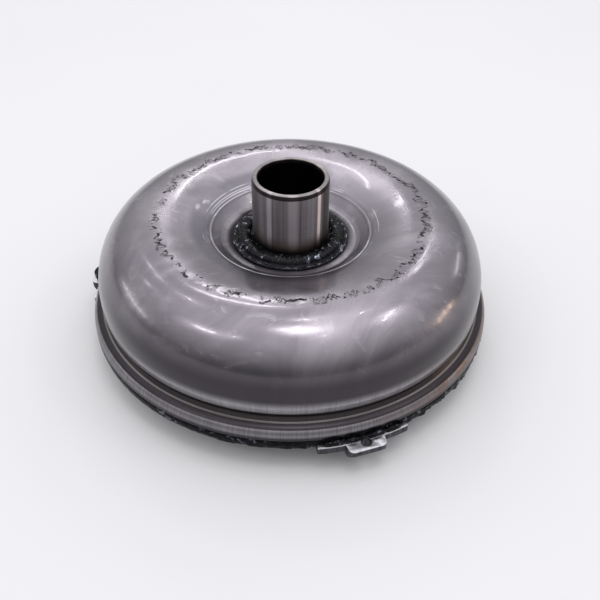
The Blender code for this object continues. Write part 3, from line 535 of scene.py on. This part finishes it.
class Graph:
    """Adds shader nodes to one material and links them."""

    def __init__(self, name):
        self.material = bpy.data.materials.new(name)
        self.material.use_nodes = True
        self.nodes = self.material.node_tree.nodes
        self.links = self.material.node_tree.links
        self.shader = self.nodes["Principled BSDF"]

    def feed(self, socket, value):
        """Link a node's output into a socket, or set the socket to a constant."""
        if isinstance(value, bpy.types.NodeSocket):
            self.links.new(value, socket)
        else:
            socket.default_value = value

    def math(self, operation, first, second=0.0, clamp=False):
        node = self.nodes.new("ShaderNodeMath")
        node.operation = operation
        node.use_clamp = clamp
        self.feed(node.inputs[0], first)
        self.feed(node.inputs[1], second)
        return node.outputs[0]

    def position(self):
        return self.nodes.new("ShaderNodeTexCoord").outputs["Object"]

    def parts(self):
        """x, y, z of a point and its distance from the shaft axis."""
        separate = self.nodes.new("ShaderNodeSeparateXYZ")
        self.links.new(self.position(), separate.inputs[0])
        x, y, z = separate.outputs
        radius = self.math("SQRT", self.math("ADD", self.math("MULTIPLY", x, x), self.math("MULTIPLY", y, y)))
        return x, y, z, radius

    def vector(self, x, y, z):
        node = self.nodes.new("ShaderNodeCombineXYZ")
        for socket, value in zip(node.inputs, (x, y, z)):
            self.feed(socket, value)
        return node.outputs[0]

    def round_axis(self, around, outward, upward):
        """Coordinates that stretch a texture: how fine it is around, outward and along the axis."""
        x, y, z, radius = self.parts()
        spread = self.math("MULTIPLY", radius, outward)
        level = self.math("ADD", spread, self.math("MULTIPLY", z, upward))
        return self.vector(self.math("MULTIPLY", self.math("DIVIDE", x, radius), around),
                           self.math("MULTIPLY", self.math("DIVIDE", y, radius), around), level)

    def noise(self, vector, scale, detail=3.0, rough=0.5, warp=0.0):
        """Smooth noise, mostly between 0.3 and 0.7."""
        node = self.nodes.new("ShaderNodeTexNoise")
        self.feed(node.inputs["Vector"], vector)
        node.inputs["Scale"].default_value = scale
        node.inputs["Detail"].default_value = detail
        node.inputs["Roughness"].default_value = rough
        node.inputs["Distortion"].default_value = warp
        return node.outputs["Fac"]

    def cells(self, vector, scale):
        """Distance to the middle of the nearest cell."""
        node = self.nodes.new("ShaderNodeTexVoronoi")
        self.feed(node.inputs["Vector"], vector)
        node.inputs["Scale"].default_value = scale
        return node.outputs["Distance"]

    def span(self, value, low, high, start=0.0, end=1.0):
        """Map low..high smoothly onto start..end, clamped."""
        node = self.nodes.new("ShaderNodeMapRange")
        node.interpolation_type = "SMOOTHSTEP"
        self.feed(node.inputs["Value"], value)
        for socket, number in (("From Min", low), ("From Max", high), ("To Min", start), ("To Max", end)):
            node.inputs[socket].default_value = number
        return node.outputs[0]

    def band(self, value, low, high, soft):
        """1 between low and high, falling to 0 over a soft edge."""
        rise = self.span(value, low - soft, low)
        fall = self.span(value, high, high + soft, 1, 0)
        return self.math("MULTIPLY", rise, fall)

    def blend(self, factor, first, second):
        """Blend two colours."""
        node = self.nodes.new("ShaderNodeMix")
        node.data_type = "RGBA"
        self.feed(node.inputs["Factor"], factor)
        for name, value in (("A", first), ("B", second)):
            socket = [s for s in node.inputs if s.name == name and s.type == "RGBA"][0]
            self.feed(socket, value if isinstance(value, bpy.types.NodeSocket) else (*value, 1.0))
        return [s for s in node.outputs if s.type == "RGBA"][0]

    def mix(self, factor, first, second):
        """Blend two numbers."""
        node = self.nodes.new("ShaderNodeMix")
        self.feed(node.inputs["Factor"], factor)
        self.feed(node.inputs["A"], first)
        self.feed(node.inputs["B"], second)
        return node.outputs["Result"]

    def raise_surface(self, height, distance, strength=1.0, below=None):
        """Bump by a height; below is the normal of the bump under it."""
        node = self.nodes.new("ShaderNodeBump")
        node.inputs["Distance"].default_value = distance
        node.inputs["Strength"].default_value = strength
        self.feed(node.inputs["Height"], height)
        if below is not None:
            self.links.new(below, node.inputs["Normal"])
        return node.outputs[0]

    def finish(self, **sockets):
        """Set the shader's sockets, with _ for a space in a name, and return the material."""
        for name, value in sockets.items():
            self.feed(self.shader.inputs[name.replace("_", " ")], value)
        return self.material


def tab_scribbles(g):
    """Two tangled zigzags over the blade tabs, in clumps: 1 on a stroke, 0 beside it."""
    x, y, z, radius = g.parts()
    ring = g.band(radius, TAB_MARK_RADIUS - 0.0030, TAB_MARK_RADIUS + 0.0040, 0.0012)
    high_up = g.span(z, 0.080, 0.082)
    angle = g.math("ARCTAN2", y, x)
    wander = g.noise(g.round_axis(17.0, 230.0, 0.0), 1.4, 3.0, 0.6)
    drift = g.noise(g.round_axis(9.0, 0.0, 0.0), 1.0, 2.0)
    middle = g.span(drift, 0.30, 0.70, TAB_MARK_RADIUS - 0.0020, TAB_MARK_RADIUS + 0.0026)
    reach = g.span(g.noise(g.round_axis(30.0, 0.0, 5.0), 1.0, 2.0), 0.35, 0.65, 0.0003, 0.0034)
    strokes = 0.0
    for waves, tangle in ((170.0, 26.0), (97.0, -34.0)):
        turns = g.math("ADD", g.math("MULTIPLY", angle, waves), g.math("MULTIPLY", wander, tangle))
        zigzag = g.math("ADD", middle, g.math("MULTIPLY", g.math("SINE", turns), reach))
        gap = g.math("ABSOLUTE", g.math("SUBTRACT", radius, zigzag))
        strokes = g.math("MAXIMUM", strokes, g.span(gap, 0.0004, 0.0010, 1.0, 0.0))
    clumps = g.span(g.noise(g.round_axis(7.0, 40.0, 0.0), 1.6, 3.0, 0.6), 0.44, 0.48)
    return g.math("MULTIPLY", g.math("MULTIPLY", strokes, clumps), g.math("MULTIPLY", ring, high_up))


def hub_soot(g, smear):
    """Soot round the weld at the hub: 1 in it, 0 past its wavering edge."""
    x, y, z, radius = g.parts()
    edge = g.math("ADD", radius, g.math("MULTIPLY", g.math("SUBTRACT", smear, 0.5), 0.006))
    edge = g.math("ADD", edge, g.math("MULTIPLY", g.math("DIVIDE", x, radius), 0.0012))
    edge = g.math("SUBTRACT", edge, g.math("MULTIPLY", g.math("DIVIDE", y, radius), 0.0012))
    return g.math("MULTIPLY", g.span(edge, 0.0360, 0.0415, 1.0, 0.0), g.span(z, 0.068, 0.070))


def dish_halo_and_line_highlights(g, colour, smear):
    """A dark halo and fine lines painted light as highlights just outside the crease."""
    x, _, _, radius = g.parts()
    leftward = g.span(g.math("DIVIDE", x, radius), -0.9, 0.5, 1.0, 0.25)
    halo = g.math("MULTIPLY", g.band(radius, 0.0500, 0.0600, 0.0060), g.span(smear, 0.38, 0.56))
    halo = g.math("MULTIPLY", g.math("MULTIPLY", halo, leftward), 0.65)
    colour = g.blend(halo, colour, (0.075, 0.075, 0.095))
    fading = g.span(g.noise(g.round_axis(2.5, 90.0, 0.0), 1.0, 2.0), 0.48, 0.60)
    # Painted highlights: thin light lines on rings just outside the crease.
    for line in (0.0501, 0.0519, 0.0531, 0.0552):
        painted_line_highlight = g.math("MULTIPLY", g.band(radius, line, line + 0.0002, 0.0003), fading)
        colour = g.blend(g.math("MULTIPLY", painted_line_highlight, 0.55), colour, (0.60, 0.59, 0.62))
    return colour


def machined_rim(g, colour, wipe, streaks, rim_part):
    """Painted shade on the lower flank; below it the turned shoulder, painted light as a highlight, the
    groove in painted shade, and the rim, with painted shade on its upper band and lower edge and a painted
    highlight along its step.
    """
    x, _, z, radius = g.parts()
    # Painted shade: a dark band over the lower flank.
    flank = g.band(z, 0.0500, 0.0570, 0.0180)
    colour = g.blend(g.math("MULTIPLY", flank, 0.95), colour, (0.034, 0.028, 0.034))
    # Painted highlight: the shoulder above the groove gets a far lighter colour than the rim below it.
    shoulder = g.blend(g.span(streaks, 0.30, 0.70), (0.350, 0.337, 0.358), (0.510, 0.493, 0.518))
    machined = g.blend(g.span(streaks, 0.30, 0.70), (0.155, 0.146, 0.155), (0.245, 0.233, 0.245))
    machined = g.blend(g.span(z, STEP_Z + 0.0002, 0.0400), machined, shoulder)
    colour = g.blend(rim_part, colour, machined)
    rightward = g.span(g.math("DIVIDE", x, radius), 0.25, 0.85)
    brassy = g.math("MULTIPLY", g.math("MULTIPLY", rightward, rim_part), g.span(wipe, 0.40, 0.60, 0.2, 0.7))
    colour = g.blend(brassy, colour, (0.185, 0.120, 0.085))
    # Painted shade: the groove is darkened.
    groove = g.math("MULTIPLY", g.band(z, STEP_Z + 0.0004, GROOVE_TOP_Z + 0.0020, 0.0008), 0.9)
    colour = g.blend(groove, colour, (0.022, 0.018, 0.018))
    # Painted shade: the rim's upper band, just under the step, is darkened.
    upper_band = g.math("MULTIPLY", g.band(z, STEP_Z - 0.0016, STEP_Z - 0.0001, 0.0005), 0.95)
    colour = g.blend(upper_band, colour, (0.024, 0.021, 0.024))
    # Painted shade: the rim's lower edge darkens towards the floor.
    lower_edge = g.math("MULTIPLY", g.span(z, RIM_Z, RIM_Z + 0.0018, 1.0, 0.0), 0.85)
    colour = g.blend(lower_edge, colour, (0.030, 0.027, 0.031))
    # Painted highlight: a light line along the step's edge.
    painted_edge_highlight = g.math("MULTIPLY", g.band(z, STEP_Z - 0.0001, STEP_Z + 0.0003, 0.0001), 0.7)
    return g.blend(painted_edge_highlight, colour, (0.17, 0.155, 0.15))


def pressed_steel():
    """Oiled pressed steel with smears, staking scribbles, a sooty recess and a machined rim; the flank, the
    rim and fine lines by the crease carry painted shade and highlights.
    """
    g = Graph("pressed_steel")
    x, y, z, radius = g.parts()
    place = g.position()
    smear = g.noise(place, 14.0, 5.0, 0.6, 1.2)
    wipe = g.noise(place, 38.0, 4.0, 0.55, 2.0)
    grain = g.noise(place, 900.0, 2.0, 0.5)
    streaks = g.noise(g.round_axis(150.0, 0.0, 8.0), 1.0, 4.0, 0.7)
    rim_part = g.span(z, 0.0410, 0.0500, 1.0, 0.0)
    marks = tab_scribbles(g)
    soot = hub_soot(g, smear)

    colour = g.blend(g.span(smear, 0.35, 0.70), (0.158, 0.145, 0.163), (0.258, 0.238, 0.262))
    light_scuffs = g.math("MULTIPLY", g.span(wipe, 0.58, 0.74), 0.30)
    colour = g.blend(light_scuffs, colour, (0.40, 0.39, 0.42))
    outside = g.math("MULTIPLY", g.span(radius, 0.0900, 0.1020), g.span(g.math("ADD", x, y), 0.04, 0.14))
    stain = g.math("MULTIPLY", outside, g.span(smear, 0.35, 0.60))
    colour = g.blend(g.math("MULTIPLY", stain, 0.60), colour, (0.070, 0.068, 0.092))
    colour = g.blend(marks, colour, (0.010, 0.008, 0.010))
    colour = g.blend(g.math("MULTIPLY", soot, 0.95), colour, (0.010, 0.008, 0.008))
    colour = dish_halo_and_line_highlights(g, colour, smear)
    colour = machined_rim(g, colour, wipe, streaks, rim_part)

    roughness = g.mix(g.span(smear, 0.30, 0.75), 0.20, 0.30)
    roughness = g.mix(g.math("MULTIPLY", light_scuffs, 1.2, clamp=True), roughness, 0.40)
    roughness = g.mix(rim_part, roughness, 0.32)
    dish = g.span(radius, 0.0600, 0.0780, 1.0, 0.0)
    roughness = g.mix(g.math("MULTIPLY", dish, 0.6), roughness, 0.45)
    dull = g.math("MAXIMUM", soot, marks)
    roughness = g.mix(dull, roughness, 0.60)

    turning = g.noise(g.round_axis(0.6, 1500.0, 1500.0), 1.0, 2.0)
    normal = g.raise_surface(grain, 0.00002, 0.35)
    normal = g.raise_surface(g.math("MULTIPLY", streaks, rim_part), 0.00004, 0.35, normal)
    normal = g.raise_surface(turning, 0.00001, 0.25, normal)
    normal = g.raise_surface(g.math("MULTIPLY", marks, -1.0), 0.00003, 0.3, normal)
    coat = g.mix(g.math("MAXIMUM", dull, rim_part), 0.40, 0.0)
    return g.finish(Base_Color=colour, Metallic=1.0, Roughness=roughness, Normal=normal,
                    Coat_Weight=coat, Coat_Roughness=0.08)


def ground_steel(name="ground_steel", hub_tint_and_painted_light=True):
    """Ground steel with darker lengthwise bands and streaks of painted reflection; the hub's foot has heat
    tint and painted shade by the weld, and the bore's mouth and chamfer painted shade.
    """
    g = Graph(name)
    x, y, z, radius = g.parts()
    lines = g.noise(g.round_axis(0.8, 1200.0, 1600.0), 1.0, 3.0, 0.6)
    cloud = g.noise(g.position(), 60.0, 3.0)
    colour = g.blend(g.span(lines, 0.25, 0.75), (0.205, 0.190, 0.195), (0.250, 0.235, 0.240))
    if hub_tint_and_painted_light:
        lengthwise = g.noise(g.round_axis(5.0, 0.0, 2.0), 1.0, 4.0, 0.7)
        colour = g.blend(g.span(lengthwise, 0.40, 0.62), colour, (0.10, 0.090, 0.095))
        angle = g.math("ARCTAN2", y, x)
        # Painted reflections: light and dark lengthwise streaks at fixed angles round the tube.
        for middle, half, soft, strength, tint in HUB_PAINTED_REFLECTIONS:
            place, width, fade = math.radians(middle), math.radians(half), math.radians(soft)
            painted_reflection = g.band(angle, place - width, place + width, fade)
            colour = g.blend(g.math("MULTIPLY", painted_reflection, strength), colour, tint)
        foot = g.math("ADD", z, g.math("MULTIPLY", g.math("SUBTRACT", cloud, 0.5), 0.003))
        heat = g.span(foot, *HUB_TINT, 1.0, 0.0)
        colour = g.blend(g.math("MULTIPLY", heat, 0.7), colour, (0.12, 0.085, 0.065))
        # Painted shade and reflection: the tube blackens towards the weld at its foot.
        foot_shade = g.span(foot, *HUB_FOOT_SHADE, 1.0, 0.0)
        colour = g.blend(g.math("MULTIPLY", foot_shade, 0.95), colour, (0.012, 0.010, 0.010))
        # Painted shade: the bore's mouth is blackened just under the top.
        inside = g.span(radius, HUB_BORE + 0.0001, HUB_BORE + 0.0003, 1.0, 0.0)
        inside = g.math("MULTIPLY", inside, g.span(z, HUB_TOP - 0.0030, HUB_TOP - 0.0008, 1.0, 0.0))
        colour = g.blend(inside, colour, (0.003, 0.003, 0.003))
        rim = g.math("MULTIPLY", g.span(z, HUB_TOP - 0.0004, HUB_TOP - 0.0001), 0.7)
        colour = g.blend(rim, colour, (0.27, 0.250, 0.245))
        # Painted shade: the chamfer is darkened almost to black.
        chamfer = g.band(z, HUB_TOP - 0.0027, HUB_TOP - 0.0006, 0.0003)
        colour = g.blend(g.math("MULTIPLY", chamfer, 0.95), colour, (0.014, 0.011, 0.011))
    normal = g.raise_surface(lines, 0.00001, 0.3)
    roughness = g.mix(g.span(cloud, 0.35, 0.70), 0.34, 0.40)
    around = g.nodes.new("ShaderNodeTangent")
    around.direction_type = "RADIAL"
    around.axis = "Z"
    return g.finish(Base_Color=colour, Metallic=1.0, Roughness=roughness, Normal=normal,
                    Anisotropic=0.9, Anisotropic_Rotation=0.25, Tangent=around.outputs[0])


def burnt_weld(name, gloss):
    """Glossy black weld scale with a blue cast, bare metal patches, specks of spatter painted light as
    glints, and a painted highlight along the hub bead's lip.
    """
    g = Graph(name)
    place = g.position()
    patch = g.noise(place, 260.0, 4.0, 0.6, 0.8)
    colour = g.blend(g.span(patch, 0.40, 0.66), (0.0018, 0.0018, 0.0020), (0.0070, 0.0080, 0.0110))
    glints = g.noise(place, 200.0, 3.0, 0.6, 0.8)
    bare = g.span(glints, 0.59, 0.70)
    colour = g.blend(g.math("MULTIPLY", bare, 5 * gloss), colour, (0.36, 0.38, 0.47))
    radius = g.parts()[3]
    # Painted highlight: a light line along the bead's lip.
    lip = g.math("MULTIPLY", g.band(radius, *BEAD_LIP, 0.0003), g.span(glints, 0.46, 0.60))
    colour = g.blend(g.math("MULTIPLY", lip, 0.35), colour, (0.36, 0.36, 0.40))
    # Spatter specks, given a light colour that also stands in for glints as painted highlights.
    specks = g.span(g.cells(place, 340.0), 0.12, 0.26, 1.0, 0.0)
    rare = g.span(g.noise(place, 110.0, 2.0), 0.60, 0.66)
    specks = g.math("MULTIPLY", specks, rare)
    colour = g.blend(g.math("MULTIPLY", specks, 4 * gloss), colour, (0.36, 0.38, 0.44))
    roughness = g.mix(g.span(patch, 0.35, 0.70), 0.08, 0.20)
    fine = g.noise(place, 1100.0, 3.0, 0.6)
    normal = g.raise_surface(fine, 0.00002, 0.3)
    normal = g.raise_surface(patch, 0.00030, 0.5, normal)
    return g.finish(Base_Color=colour, Metallic=bare, Roughness=roughness, Normal=normal,
                    Specular_IOR_Level=0.5 * gloss, Coat_Weight=gloss, Coat_Roughness=0.05)


def cover_steel():
    """Dark oily steel with turning marks on its face."""
    g = Graph("cover_steel")
    place = g.position()
    turning = g.noise(g.round_axis(0.5, 900.0, 300.0), 1.0, 3.0, 0.6)
    cloud = g.noise(place, 22.0, 5.0, 0.6, 0.8)
    colour = g.blend(g.span(turning, 0.30, 0.70), (0.075, 0.075, 0.080), (0.150, 0.148, 0.155))
    colour = g.blend(g.math("MULTIPLY", g.span(cloud, 0.48, 0.68), 0.7), colour, (0.030, 0.026, 0.025))
    roughness = g.mix(g.span(cloud, 0.35, 0.70), 0.30, 0.50)
    normal = g.raise_surface(turning, 0.00002, 0.5)
    return g.finish(Base_Color=colour, Metallic=0.9, Roughness=roughness, Normal=normal,
                    Coat_Weight=0.25, Coat_Roughness=0.15)


def lug_steel():
    """Steel with a ground top painted light and dark, slightly torn sheared sides painted as shade."""
    g = Graph("lug_steel")
    z = g.parts()[2]
    shear = g.noise(g.round_axis(90.0, 60.0, 12.0), 1.0, 4.0, 0.7)
    cloud = g.noise(g.position(), 90.0, 4.0, 0.6)
    # Painted light: the top gets a light colour and the sides a dark one, lit and shaded copies of one steel.
    top = g.span(z, LUG_HIGH.z - 0.0011, LUG_HIGH.z - 0.0006)
    sides = g.blend(g.span(shear, 0.30, 0.70), (0.030, 0.030, 0.036), (0.095, 0.095, 0.105))
    bright = g.blend(g.span(shear, 0.30, 0.70), (0.46, 0.46, 0.48), (0.62, 0.62, 0.65))
    colour = g.blend(top, sides, bright)
    colour = g.blend(g.math("MULTIPLY", g.span(cloud, 0.54, 0.70), 0.4), colour, (0.12, 0.12, 0.13))
    normal = g.raise_surface(shear, 0.00005, 0.4)
    roughness = g.mix(g.span(cloud, 0.35, 0.70), 0.25, 0.42)
    return g.finish(Base_Color=colour, Metallic=1.0, Roughness=roughness, Normal=normal)


def sheet_steel():
    """Satin rolled sheet with brazing stains."""
    g = Graph("blade_steel")
    place = g.position()
    rolled = g.noise(g.round_axis(40.0, 300.0, 300.0), 1.0, 3.0, 0.6)
    stain = g.noise(place, 35.0, 5.0, 0.6, 1.0)
    colour = g.blend(g.span(rolled, 0.30, 0.70), (0.36, 0.36, 0.37), (0.50, 0.49, 0.50))
    colour = g.blend(g.math("MULTIPLY", g.span(stain, 0.54, 0.70), 0.45), colour, (0.34, 0.25, 0.15))
    roughness = g.mix(g.span(stain, 0.35, 0.70), 0.32, 0.48)
    normal = g.raise_surface(rolled, 0.00003, 0.4)
    return g.finish(Base_Color=colour, Metallic=1.0, Roughness=roughness, Normal=normal)


def turned_metal(name, dark, light, rough_low, rough_high):
    """Machined metal with fine lines round the shaft and oily clouds."""
    g = Graph(name)
    lines = g.noise(g.round_axis(0.8, 1100.0, 1100.0), 1.0, 3.0, 0.6)
    cloud = g.noise(g.position(), 70.0, 4.0, 0.6)
    colour = g.blend(g.span(lines, 0.30, 0.70), dark, light)
    shade = tuple(0.55 * value for value in dark)
    colour = g.blend(g.math("MULTIPLY", g.span(cloud, 0.52, 0.70), 0.5), colour, shade)
    roughness = g.mix(g.span(cloud, 0.35, 0.70), rough_low, rough_high)
    normal = g.raise_surface(lines, 0.00002, 0.4)
    return g.finish(Base_Color=colour, Metallic=1.0, Roughness=roughness, Normal=normal)


def cast_aluminium():
    """Grainy die-cast surface."""
    g = Graph("cast_aluminium")
    place = g.position()
    grit = g.noise(place, 700.0, 4.0, 0.7)
    flow = g.noise(place, 50.0, 4.0, 0.6, 1.5)
    colour = g.blend(g.span(flow, 0.35, 0.70), (0.58, 0.58, 0.60), (0.74, 0.74, 0.75))
    colour = g.blend(g.math("MULTIPLY", g.span(grit, 0.56, 0.72), 0.4), colour, (0.36, 0.36, 0.37))
    normal = g.raise_surface(grit, 0.00012, 0.6)
    return g.finish(Base_Color=colour, Metallic=1.0, Roughness=g.mix(grit, 0.40, 0.62), Normal=normal)


def friction_paper():
    """Porous brown lining with stray fibres."""
    g = Graph("friction_paper")
    place = g.position()
    fibres = g.noise(place, 1300.0, 4.0, 0.75, 2.0)
    pores = g.span(g.cells(place, 900.0), 0.10, 0.35)
    colour = g.blend(g.span(fibres, 0.35, 0.65), (0.10, 0.065, 0.040), (0.24, 0.17, 0.105))
    colour = g.blend(pores, (0.05, 0.032, 0.022), colour)
    normal = g.raise_surface(fibres, 0.00010, 0.7)
    return g.finish(Base_Color=colour, Metallic=0.0, Roughness=g.mix(fibres, 0.80, 0.95), Normal=normal)


def seal_rubber():
    """Dull moulded rubber."""
    g = Graph("seal_rubber")
    place = g.position()
    dust = g.noise(place, 500.0, 4.0, 0.6)
    colour = g.blend(g.span(dust, 0.40, 0.70), (0.014, 0.014, 0.015), (0.045, 0.045, 0.046))
    normal = g.raise_surface(dust, 0.00004, 0.4)
    return g.finish(Base_Color=colour, Metallic=0.0, Roughness=g.mix(dust, 0.50, 0.72), Normal=normal)


def finish_inner_nodes():
    """Procedural materials for the CAD nodes that stay."""
    finishes = {
        "pressed_steel": turned_metal("inner_pressed_steel", (0.30, 0.295, 0.31), (0.42, 0.41, 0.43),
                                      0.28, 0.42),
        "blade_steel": sheet_steel(),
        "hub_steel": turned_metal("hub_steel", (0.36, 0.35, 0.34), (0.52, 0.50, 0.49), 0.24, 0.38),
        "cast_aluminium": cast_aluminium(),
        "bearing_steel": turned_metal("bearing_steel", (0.50, 0.50, 0.51), (0.64, 0.64, 0.65), 0.12, 0.22),
        "spring_steel": turned_metal("spring_steel", (0.16, 0.17, 0.21), (0.27, 0.28, 0.33), 0.28, 0.42),
        "friction_paper": friction_paper(),
        "seal_rubber": seal_rubber(),
        "washer_bronze": turned_metal("washer_bronze", (0.50, 0.32, 0.15), (0.66, 0.45, 0.24), 0.28, 0.42),
    }
    for entry in frame["record"]["subparts"]:
        material = finishes.get(entry["material_slot"])
        if material:
            mesh = frame["nodes"][entry["node"]].data
            mesh.materials.clear()
            mesh.materials.append(material)


# Studio

def add_floor():
    mesh = bpy.data.meshes.new("studio_floor")
    half = FLOOR_HALF_WIDTH
    corners = [(-half, -half, 0), (half, -half, 0), (half, half, 0), (-half, half, 0)]
    mesh.from_pydata(corners, [], [(0, 1, 2, 3)])
    floor = bpy.data.objects.new("studio_floor", mesh)
    bpy.context.scene.collection.objects.link(floor)
    g = Graph("floor_paper")
    cloud = g.noise(g.position(), 3.0, 2.0)
    mesh.materials.append(g.finish(Base_Color=g.blend(cloud, (0.54, 0.54, 0.545), (0.57, 0.57, 0.575)),
                                   Roughness=0.9))
    g.shader.inputs["Specular IOR Level"].default_value = 0.1


def add_light(name, azimuth, elevation, size, radiance, colour=(1, 1, 1)):
    """A rectangular window of light aimed at the shell from a direction given in degrees."""
    lamp = bpy.data.lights.new(name, "AREA")
    lamp.shape = "RECTANGLE"
    lamp.size, lamp.size_y = size
    lamp.energy = radiance * math.pi * size[0] * size[1]
    lamp.color = colour
    light = bpy.data.objects.new(name, lamp)
    turn, rise = math.radians(azimuth), math.radians(elevation)
    towards = Vector((math.cos(rise) * math.cos(turn), math.cos(rise) * math.sin(turn), math.sin(rise)))
    light.location = Vector((0, 0, CROWN_Z)) + towards * LIGHT_DISTANCE
    light.rotation_euler = towards.to_track_quat("Z", "Y").to_euler()
    bpy.context.scene.collection.objects.link(light)


def add_world():
    """A room that is bright overhead and dim towards the horizon, most of all in front."""
    world = bpy.data.worlds.new("studio")
    world.use_nodes = True
    nodes, links = world.node_tree.nodes, world.node_tree.links
    separate = nodes.new("ShaderNodeSeparateXYZ")
    links.new(nodes.new("ShaderNodeTexCoord").outputs["Generated"], separate.inputs[0])

    def scaled(socket, from_max, low, high):
        node = nodes.new("ShaderNodeMapRange")
        links.new(socket, node.inputs["Value"])
        node.inputs["From Max"].default_value = from_max
        node.inputs["To Min"].default_value = low
        node.inputs["To Max"].default_value = high
        return node.outputs[0]

    height = scaled(separate.outputs["Z"], 1.0, 0.42, 1.90)
    front = scaled(separate.outputs["Y"], -1.0, 1.0, 0.45)
    lifted = nodes.new("ShaderNodeMix")
    links.new(scaled(separate.outputs["Z"], 0.8, 0.0, 1.0), lifted.inputs["Factor"])
    links.new(front, lifted.inputs["A"])
    lifted.inputs["B"].default_value = 1.0
    product = nodes.new("ShaderNodeMath")
    product.operation = "MULTIPLY"
    links.new(height, product.inputs[0])
    links.new(lifted.outputs["Result"], product.inputs[1])
    background = nodes["Background"]
    background.inputs["Color"].default_value = (0.975, 0.965, 1.0, 1.0)
    links.new(product.outputs[0], background.inputs["Strength"])
    bpy.context.scene.world = world


def add_window(name, panes, size, radiance, colour=(1, 1, 1)):
    """A window made of panes; each pane is a direction (azimuth, elevation)."""
    for number, (azimuth, elevation) in enumerate(panes, start=1):
        add_light(f"{name}_{number}", azimuth, elevation, size, radiance, colour)


def add_lights():
    add_window("back_window_right", [(66, 42), (71, 38)], (0.06, 0.06), 14)
    add_window("back_window", [(96, 38.5)], (0.18, 0.030), 26)
    add_window("back_window_high", [(103, 50.5)], (0.32, 0.032), 26)
    add_window("back_window_left", [(134, 41), (140, 45)], (0.05, 0.05), 10)
    add_window("left_back_window", [(160, 37)], (0.05, 0.05), 12)
    add_window("left_window", [(-152, 43), (-147, 44), (-142, 45)], (0.06, 0.05), 26)
    add_window("right_window", [(-15, 50.5), (-8, 52), (-1, 53)], (0.07, 0.06), 24)
    add_window("far_window", [(62, 43)], (0.04, 0.04), 20)
    add_window("top_panel", [(-72, 73)], (0.36, 0.26), 5.5)
    add_window("left_low_strip", [(176, 11)], (0.60, 0.05), 6)
    add_window("right_low_strip", [(30, 15)], (0.30, 0.05), 5)
    add_window("warm_lamp", [(-5, 4), (0, 5), (5, 4)], (0.05, 0.14), 9, (1.0, 0.80, 0.58))
    add_window("small_lamp", [(-128, 50), (-60, 60), (20, 68), (150, 58)], (0.025, 0.025), 90)
    add_window("overhead_lamp", [(-98, 77), (-72, 81), (60, 82)], (0.040, 0.025), 130)


def add_camera():
    """Looks along +Y, down on the converter, with a slight roll."""
    data = bpy.data.cameras.new("camera")
    data.lens = CAMERA_LENS
    data.sensor_width = 36.0
    camera = bpy.data.objects.new("camera", data)
    tilt = Matrix.Rotation(math.radians(CAMERA_TILT), 4, "X")
    roll = Matrix.Rotation(math.radians(CAMERA_ROLL), 4, "Z")
    camera.matrix_world = Matrix.Translation(CAMERA_PLACE) @ tilt @ roll
    bpy.context.scene.collection.objects.link(camera)
    bpy.context.scene.camera = camera


bpy.context.scene.view_settings.view_transform = "Standard"
impeller_shell()
impeller_hub()
hub_weld_bead()
closure_weld()
front_cover()
crank_pilot()
drive_lugs()
lug_welds()
finish_inner_nodes()
add_floor()
add_world()
add_lights()
add_camera()
